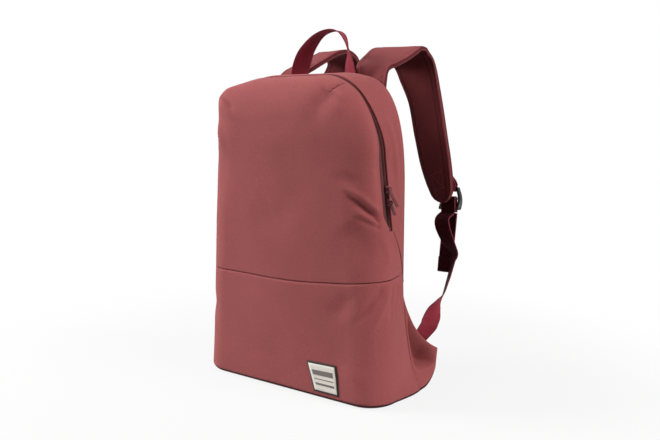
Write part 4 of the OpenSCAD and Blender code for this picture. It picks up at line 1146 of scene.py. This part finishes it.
def strap_pad(left):
    """Padded strap with piping along its edges, finer steps at its rounded end and soft folds."""
    fine_from = STRAP_LAST - 0.9
    t = np.concatenate([np.linspace(0, fine_from, 130), np.linspace(fine_from, STRAP_LAST, 26)[1:]])
    p, _, w, n, widths = strap_frames(t)
    run = np.concatenate([[0], np.cumsum(np.linalg.norm(np.diff(p, axis=0), axis=1))])
    to_end = run[-1] - run
    round_end = np.sqrt(np.clip(1 - np.clip(1 - to_end / PAD_ROUND, 0, 1) ** 2, 0.03, 1))
    rings = []
    for k in range(len(t)):
        ring, mats = pad_section(widths[k] * round_end[k], lerp(0.7, 1, ease(to_end[k] / 20)))
        rings.append(p[k] + ring[:, :1] * w[k] + ring[:, 1:] * n[k])
    rings = np.array(rings)
    flat = rings.reshape(-1, 3)
    height = ((rings - p[:, None]) * n[:, None]).sum(-1)
    rise = wobble(flat * [1, 1, 0.7], 34, 12).reshape(height.shape) * 0.45
    face = np.broadcast_to(n[:, None], rings.shape).reshape(-1, 3)
    for a, b, size in PAD_FOLDS:
        ends = strap_frames([a[0], b[0]])
        line = strap_place(ends, ends[4] * [a[1], b[1]], PAD_FOLD_LIFT)
        fold = crease(flat, face, line, PAD_FOLD_W, size, 0.0, (0.4, 0.4)).reshape(height.shape)
        rise += fold * (height > 0)
    loose = ease((np.abs(height) - 2.6) / 1.2)
    rings = rings + n[:, None] * (rise * np.sign(height) * loose)[..., None]
    # The outer face takes the darker copy of the body cloth, as painted shade.
    skins = [PAD_CLOTH, STRAP_CLOTH_SHADED, PAD_EDGE, PAD_PIPE]
    return swept(f"{side_name(left)}_strap_pad", rings, skins, mats, left)


def pad_stitches(left, surface):
    """Dark seams, rows of stitches along both edges of both faces, and the crossed square at the keeper."""
    inner, outer = [], []
    frames = strap_frames(np.linspace(0.3, STRAP_LAST - 0.32, 90))
    for s in (-1, 1):
        inner.append(strap_place(frames, s * (frames[4] / 2 - SEAM_D), 3))
        outer.append(strap_place(frames, s * (frames[4] / 2 - TOP_SEAM_D), -4))
    low, high = strap_frames([STRAP_LAST - 0.75]), strap_frames([STRAP_LAST - 1.35])
    corner = [strap_place(f, s * BOX_HALF, 4.5)[0] for f, s in ((low, -1), (low, 1), (high, 1), (high, -1))]
    inner += [[corner[a], corner[b]] for a, b in ((0, 1), (1, 2), (2, 3), (3, 0), (0, 2), (1, 3))]
    for name, s, inset in EDGE_SEAMS:
        line = strap_place(frames, s * (frames[4] / 2 - inset), 3)
        yield seam_cord(f"{side_name(left)}_strap_{name}_seam", mirrored(line, left), surface, PAD_SEAM)
    for name, lines, mat in (("inner", inner, PAD_THREAD), ("outer", outer, THREAD)):
        lines = [mirrored(line, left) for line in lines]
        yield stitches(f"{side_name(left)}_strap_{name}_stitches", lines, surface, mat)


# Buckle and webbing

SWING_AXIS = np.array([0.191383, 0.0760305, -0.978566])
WING_ANCHOR = np.array([144.315, 72.7783, 60.2464])
BUCKLE_TOP = strap_points[-1] + [0, 15, 18]
BUCKLE_DOWN = unit(np.array([0.05, -0.03, -1.0]))
BUCKLE_ACROSS = unit(np.cross(np.cross(BUCKLE_DOWN, [0.98, -0.15, 0.1]), BUCKLE_DOWN))
BUCKLE_FACE = np.cross(BUCKLE_DOWN, BUCKLE_ACROSS)
BUCKLE_L = 30.0
RAIL_X = 15.5
BAR_R = 1.6
BEND_R = 2.7
BAR_STEP = (BUCKLE_L - 2 * BAR_R) / 2
WRAP_END = 2 * BAR_STEP + 4
WEB_BREAK = WRAP_END + 3
KEEPER_T = STRAP_LAST - 1.4
KEEPER_LIFTS = (6.2, 8.1)
WING_H = 130.0
WING_FOOT = 0.5
half_turn = np.radians(np.arange(0, 181, 15))


def buckle_point(face, up):
    """A place in the buckle's middle plane: in front of its face and above its top bar."""
    return BUCKLE_TOP + BUCKLE_FACE * face - BUCKLE_DOWN * up


def round_bar(bar, way, ups):
    """Webbing along the buckle's front at heights ups, round a bar and back; way -1 goes under the bar."""
    front = [(BEND_R, up) for up in ups]
    bend = [(BEND_R * math.cos(a), -bar * BAR_STEP + way * BEND_R * math.sin(a)) for a in half_turn]
    rear = [(-BEND_R, up) for up in ups[::-1]]
    return [buckle_point(face, up) for face, up in front + bend + rear]


def bezier(a, m, b, t):
    """Points of a curve from a to b that bends towards m."""
    t = np.asarray(t, float)[..., None]
    return lerp(lerp(a, m, t), lerp(m, b, t), t)


def wing_upper(f, inset=0.0):
    """Upper edge of a wing, from the back seam to its tip."""
    a = np.array([float(back_half(WING_H)) - inset, 40.05, WING_H])
    tip = np.array([154 - inset, 97, 46])
    return bezier(a, np.array([a[0] + 7, 48, 65]), tip, f)


def wing_lower(f):
    """Lower edge of a wing, near the floor."""
    return bezier(wall_point(WING_FOOT, 2.0), np.array([157, 74.2, WING_FOOT]), np.array([154, 92, 19]), f)


WING_EDGE = unit(wing_upper(0.82, 1.25) - wing_upper(0.62, 1.25))
WING_UP = unit(np.array([0, 0, 1]) - WING_EDGE[2] * WING_EDGE)
WEB_TOP = buckle_point(BEND_R, -WEB_BREAK)
TAIL_TOP = buckle_point(-BEND_R, -WEB_BREAK)
ANCHOR_END = WING_ANCHOR + WING_UP * 16

# How far the webbing's sewn end reaches in behind the wing's edge
WEB_TUCK = np.array([20.0, 0, 0])
# Lower webbing: share of the way from wing to buckle, offsets to the side and back, turn in degrees
WEB_ROUTE = np.array([[0.1, 2, 2, 50], [0.15, 4, 4, 50], [0.21, 5, 9, 66], [0.27, 7, 14, 92],
                      [0.33, 8.5, 20, 112], [0.42, 9, 25, 118], [0.51, 9.5, 28, 122], [0.6, 11, 26, 128],
                      [0.67, 12, 21, 144], [0.76, 6, 8, 166], [0.87, -1, -4, 172], [0.95, -5, -6, 168]])
web_sewn = [WING_ANCHOR - WING_UP * 8 - WEB_TUCK, WING_ANCHOR - WEB_TUCK * 0.45]
web_free = lerp(WING_ANCHOR, WEB_TOP, WEB_ROUTE[:, :1]) + WEB_ROUTE[:, 1:3] @ np.eye(2, 3)
web_points = np.concatenate([web_sewn, web_free, [WEB_TOP]])
web_turns = np.concatenate([[WING_EDGE, WING_EDGE], turned(WEB_ROUTE[:, 3]), [-BUCKLE_ACROSS]])
WEB_LAST = len(web_points) - 1
WEB_SPLIT = 9.0
tail_points = TAIL_TOP + np.array([[0, 0, 0], [-2, 0, -28], [-3.5, -2, -58], [-4.5, -4, -88]])
tail_turns = [BUCKLE_ACROSS] * len(tail_points)
HEM_FROM = 2.3
HEM_OFF = 1.5


def metres(p, left):
    """A place in metres, on the right or the left side."""
    return tuple(float(x) for x in mirrored(p, left) * MM)


# Side of a ladder buckle: height over the top bar, distance in front of it and half depth
RAIL = [(3.4, 0.4, 1.0), (2.6, 0.2, 2.2), (-2, -1.4, 2.9), (-8, -4.2, 3.2), (-14, -5.4, 3.4),
        (-19, -5.0, 3.8), (-23, -3.6, 4.4), (-26, -2.2, 4.6), (-28.6, -1.4, 4.0), (-30, -1.2, 2.0)]
RAIL_HALF = 2.7
RAIL_FULL = 2.2
# Half depths of the three bars
BAR_DEPTHS = (BAR_R, BAR_R, 2.2)
round_section = np.array([[math.copysign(abs(math.cos(a)) ** 0.6, math.cos(a)),
                           math.copysign(abs(math.sin(a)) ** 0.6, math.sin(a))]
                          for a in np.radians(np.arange(0, 360, 22.5))])


def buckle_frame(left):
    """Ladder buckle: two bowed rails and three bars."""
    rail = along(RAIL, np.linspace(0, len(RAIL) - 1, 40))
    solids = []
    for x in (-RAIL_X, RAIL_X):
        solids.append([[(x + a * RAIL_HALF * min(1, d / RAIL_FULL), bow + b * d, z) for a, b in round_section]
                       for z, bow, d in rail])
    for k, depth in enumerate(BAR_DEPTHS):
        solids.append([[(x, b * depth, -k * BAR_STEP - a * BAR_R) for a, b in round_section]
                       for x in np.linspace(-RAIL_X, RAIL_X, 9)])
    points, faces = [], []
    for rings in map(np.array, solids):
        count, n = rings.shape[:2]
        world = (BUCKLE_TOP + rings[..., :1] * BUCKLE_ACROSS + rings[..., 1:2] * BUCKLE_FACE
                 - rings[..., 2:] * BUCKLE_DOWN)
        first, second = world[:2]
        out = np.cross(first[1] - first[0], second[0] - first[0]) @ (first[0] - first.mean(0)) > 0
        faces += tube_faces(count, n, len(points), bool(out) == left)
        points += list(mirrored(world, left).reshape(-1, 3))
    return make(f"{side_name(left)}_ladder_buckle", np.array(points), faces, [BUCKLE])


WING_PROUD = 1.6
WING_HOLLOW = 24.0
WING_FOLD = 2.0
WING_RIDGE = 2.5
WING_RIM = 4.0
WING_T = 2.4


def wing_cloth(left):
    """Cloth triangle at the lower back corner, hollow below its upper edge."""
    f = np.linspace(0, 1, 33)
    a = np.linspace(0, 1, 41)
    low_edge, high_edge = wing_lower(f), wing_upper(f)
    grid = lerp(low_edge[None], high_edge[None], a[:, None, None])
    root = wall_point(lerp(WING_FOOT, WING_H, a), 2.0)
    flat = lerp(low_edge[0], high_edge[0], a[:, None])
    grid = grid + (1 - f)[None, :, None] * (root - flat)[:, None]
    across, up = f[None], a[:, None]
    tip = ease((1 - across) / 0.3)
    hollow = ease((up - 0.22) / 0.15) * ease((1 - up) / 0.6) * ease((across - 0.05) / 0.2) * tip
    fold = np.exp(-((up - 0.24 - 0.06 * across) / 0.06) ** 2) * ease((across - 0.1) / 0.4) * tip
    ridge = np.exp(-((across - 0.12) / 0.09) ** 2) * np.sin(np.pi * up)
    grid[..., 0] += WING_PROUD * ease(across / 0.3) - WING_HOLLOW * hollow
    grid[..., 0] += WING_FOLD * fold + WING_RIDGE * ridge
    grid[..., 2] += WING_RIM * 4 * across * (1 - across) * up ** 3
    points, quads, uvs = facing(*weld([mirrored(grid, left)]), (-1 if left else 1, 0, 0))
    # The row of faces along the floor takes the dark cloth, a painted contact shadow.
    foot = np.repeat([1] + [0] * (len(a) - 2), len(f) - 1)
    wing = make(f"{side_name(left)}_wing_cloth", points, quads, [CLOTH, FOOT_SHADOW_CLOTH], uvs, foot)
    return thick(wing, WING_T, 0)


for left in (False, True):
    side = side_name(left)
    swing, tilt = f"{side}_strap", f"{side}_buckle"
    cut = along(strap_points, np.array(STRAP_CUT))
    root_joint = ("pack", swing, metres(cut - [0, 5, 0], left), metres(cut + [0, 14, 0], left))
    pad = strap_pad(left)
    threads = list(pad_stitches(left, pad))
    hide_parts(*[f"{side}_strap_{part}" for part in ("root", "cover", "foam", "lining")])
    for piece in (pad, *threads):
        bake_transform(piece)

    seat = [v[0] for v in strap_frames([KEEPER_T])]
    ends = [seat[0] - seat[3] * lift for lift in KEEPER_LIFTS]
    loop = [ends[0], *round_bar(0, -1, (9, 3)), ends[1]]
    turns = [seat[2]] + [BUCKLE_ACROSS] * (len(loop) - 2) + [seat[2]]
    keeper = webbing_piece(f"{side}_keeper_loop", loop, turns, (0, len(loop) - 1, 70), left)
    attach(assign(keeper, "webbing", f"{side}_keeper"), swing)

    low = -BAR_STEP - 3
    loop = round_bar(1, 1, (-WRAP_END - 3, low - 6, low))
    turns = [-BUCKLE_ACROSS] * len(loop)
    wrapped = webbing_piece(f"{side}_webbing_loop", loop, turns, (0, len(loop) - 1, 70), left)
    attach(assign(wrapped, "webbing", f"{side}_webbing_wrap"), tilt)

    low_web = webbing_piece(f"{side}_webbing_low", web_points, web_turns, (0, WEB_SPLIT, 80), left)
    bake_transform(assign(low_web, "webbing", f"{side}_webbing_anchor", f"{side}_webbing"), "pack", swing,
             metres(ANCHOR_END + SWING_AXIS * 10, left), metres(ANCHOR_END - SWING_AXIS * 14, left))
    high_web = webbing_piece(f"{side}_webbing_high", web_points, web_turns, (WEB_SPLIT, WEB_LAST, 60), left)
    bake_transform(assign(high_web, "webbing"), swing, tilt,
             metres(WEB_TOP + BUCKLE_DOWN * 22, left), metres(WEB_TOP, left))

    tail = webbing_piece(f"{side}_tail", tail_points, tail_turns, (0, len(tail_points) - 1, 40), left)
    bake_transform(assign(tail, "webbing", f"{side}_webbing_tail"), swing, tilt,
             metres(TAIL_TOP + BUCKLE_DOWN * 30, left), metres(TAIL_TOP, left))
    hem_t = np.linspace(HEM_FROM, len(tail_points) - 1, 5)
    line, way, _, face = strip_frames(tail_points, tail_turns, hem_t)
    loop = [*line + face * HEM_OFF, line[-1] + way[-1] * HEM_OFF, *(line - face * HEM_OFF)[::-1]]
    turns = [BUCKLE_ACROSS] * len(loop)
    hem = webbing_piece(f"{side}_tail_hem", loop, turns, (0, len(loop) - 1, 40), left)
    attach(assign(hem, "webbing"), swing)

    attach(assign(buckle_frame(left), "buckle", f"{side}_buckle"), tilt)
    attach(assign(wing_cloth(left), "cloth", f"{side}_wing"), "pack")


# Haul handle

# Half of the handle from its foot: share of the leg's distance, share of the height, share of the turn
HANDLE_SHAPE = [(1, 0, 0), (0.93, 0.25, 0.22), (0.77, 0.58, 0.62), (0.43, 0.9, 0.9), (0, 1, 1)]
LEG_X, LEG_TOE, HANDLE_Y, HANDLE_FOOT, HANDLE_H, HANDLE_LEAN = 44, 20, 36, 432.3, 62, 14
HANDLE_SWAY, HANDLE_TWIST = 3, 8
LEG_TUCK = [0, 0, 6]
handle_keys = [(-1, *s) for s in HANDLE_SHAPE] + [(1, *s) for s in HANDLE_SHAPE[-2::-1]]
way, out, up, turn = np.array(handle_keys).T
handle_points = xyz(way * LEG_X * out + HANDLE_SWAY * up, HANDLE_Y + HANDLE_LEAN * up ** 2,
                    HANDLE_FOOT + HANDLE_H * up)
handle_turns = turned(90 + HANDLE_TWIST * turn + way * (90 - LEG_TOE) * (1 - turn))
handle_points = np.concatenate([handle_points[:1] - LEG_TUCK, handle_points, handle_points[-1:] - LEG_TUCK])
handle_turns = np.concatenate([handle_turns[:1], handle_turns, handle_turns[-1:]])
handle = webbing_piece("handle_webbing", handle_points, handle_turns, (0, len(handle_points) - 1, 120), False,
                       WEBBING)
assign(handle, "webbing", "haul_handle")
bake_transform(handle)


# Base, back and inside

BASE_H = 0.6
BASE_SHARES = (0.02, 0.25, 0.5, 0.75, 0.93, 1.0)
BACK_ROWS_H = 400.0
BACK_SWELL = 6.5
SPINE_W = 15.0
QUILT_LINES = (120.0, 215.0, 310.0)
QUILT_W = 5.0
LINING_Y = 31.0
SLEEVE_HALF, SLEEVE_LOW, SLEEVE_H, SLEEVE_Y = 123.0, 4.0, 290.0, 10.0
SLEEVE_WRAP = (5, 12, 20.5)
SLEEVE_BULGE, SLEEVE_SAG = 2.0, 6.0
POCKET_HALF, POCKET_LOW, POCKET_H, POCKET_Y = 102.0, 32.0, 156.0, -59.6

edge = wall_point(0.3, np.concatenate([[-2], np.linspace(-1.99, 1.99, 120), [2]]))
edge = resampled(np.concatenate([edge, [edge[0]]]), 161)
edge[:, 2] = BASE_H
centre = edge[:-1].mean(0)
grid = np.array([lerp(centre, edge, s) for s in BASE_SHARES])
# The underside takes the same dark cloth, painted contact shadow.
base = cloth_piece("base_cloth", grid, (0, 0, -1), [FOOT_SHADOW_CLOTH, LINING], 1.4)
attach(assign(base, "cloth", "base_panel"), "pack")


def back_sheet(rows, cols, inset, y):
    """Upright sheet inside the back seam, with half its width and the height of each row."""
    arch = np.sin(np.radians(np.linspace(0, 90, 12)[1:]))
    z = np.concatenate([np.linspace(inset, BACK_ROWS_H, rows),
                        lerp(BACK_ROWS_H, BODY_H - inset, arch)])
    half = np.maximum(back_half(z * BODY_H / (BODY_H - inset)) - base_inset(z) - inset, 1)
    x = np.linspace(-1, 1, cols) * half[:, None]
    return xyz(x, y, z[:, None]), half[:, None], z[:, None]


grid, half, z = back_sheet(90, 61, 0.0, BACK_Y)
x = grid[..., 0]
swell = BACK_SWELL * ease(np.minimum(half - np.abs(x), z) / 22) * ease((388 - z) / 26)
swell *= 1 - 0.75 * np.exp(-(x / SPINE_W) ** 2) * ease((z - 40) / 30)
for height in QUILT_LINES:
    swell *= 1 - 0.6 * np.exp(-((z - height - np.abs(x) * 0.12) / QUILT_W) ** 2)
grid[..., 1] += swell
points, quads, uvs = weld([grid])
back = thick(make("back_pad", points, quads[:, ::-1], [PAD_CLOTH, LINING], uvs), 2.0, 1)
assign(back, "cloth", "back_panel", "back_foam")
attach(back, "pack")

lining = cloth_piece("back_lining_cloth", back_sheet(50, 41, 3.0, LINING_Y)[0], (0, -1, 0), [LINING], 1.0)
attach(assign(lining, "lining", "back_lining"), "pack")

x = np.linspace(-SLEEVE_HALF, SLEEVE_HALF, 61)
z = np.linspace(SLEEVE_LOW, SLEEVE_H, 72)[:, None]
bulge = SLEEVE_BULGE * ease((SLEEVE_HALF - np.abs(x)) / 20)
bulge = bulge * ease((SLEEVE_H - z) / 30) * ease((z - SLEEVE_LOW) / 20)
sag = SLEEVE_SAG * np.cos(np.pi * x / 2 / SLEEVE_HALF) * ease((z - 200) / 90)
grid = xyz(x, SLEEVE_Y - bulge, z - sag)
right = [grid[:, -1] + [0, d, 0] for d in SLEEVE_WRAP]
left = [grid[:, 0] + [0, d, 0] for d in SLEEVE_WRAP[::-1]]
grid = np.concatenate([np.stack(left, 1), grid, np.stack(right, 1)], 1)
sleeve = cloth_piece("sleeve_pad", grid, (0, -1, 0), [LINING], 3.0)
assign(sleeve, "lining", "laptop_sleeve")
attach(sleeve, "pack")

x = np.linspace(-POCKET_HALF, POCKET_HALF, 49)
z = np.linspace(POCKET_LOW, POCKET_H, 32)[:, None]
ripple = 1.2 * np.sin(x / 17) * ease((150 - z) / 40)
grid = xyz(x, POCKET_Y + ripple, z)
pocket = cloth_piece("pocket_lining", grid, (0, -1, 0), [LINING], 0.8)
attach(assign(pocket, "lining", "pocket_bag"), "pack")


# Label patch

# Corners of the label as x and z, and how far in front of the wall its points start
LABEL_CORNERS = np.array([(53.5, 10.5), (94, 10.5), (90, 52), (44.5, 51)])
LABEL_OFF = 15.0
LABEL_STEPS = 15
LABEL_T = 0.9
# Name, inset, lift off the wall, span of the height and material
LABEL_PIECES = [("label_edge", 0.0, 1.0, (0, 1), LABEL_EDGE), ("label_face", 2.6, 1.4, (0, 1), LABEL),
                ("label_band", 6.0, 1.6, (0.6, 0.84), LABEL_BAND),
                ("label_line", 6.0, 1.6, (0.4, 0.44), LABEL_BAND),
                ("label_foot", 6.0, 1.6, (0.14, 0.24), LABEL_BAND)]


def label_grid(inset, lift, span):
    """Points of a piece of the label that fills a span of its height."""
    s = np.linspace(0, 1, LABEL_STEPS)
    a, b, c, d = LABEL_CORNERS + np.array([(1, 1), (-1, 1), (-1, -1), (1, -1)]) * inset
    flat = lerp(lerp(a, b, s[:, None]), lerp(d, c, s[:, None]), lerp(*span, s)[:, None, None]).reshape(-1, 2)
    at, n = on_surface(lower, xyz(flat[:, 0], FRONT_Y - LABEL_OFF, flat[:, 1]))
    return (at + n * lift).reshape(LABEL_STEPS, LABEL_STEPS, 3)


for name, inset, lift, span, mat in LABEL_PIECES:
    label = cloth_piece(name, label_grid(inset, lift, span), (0, -1, 0), [mat], LABEL_T)
    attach(label, "pack")
    if name == "label_edge":
        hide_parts("label_patch")

low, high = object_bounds()
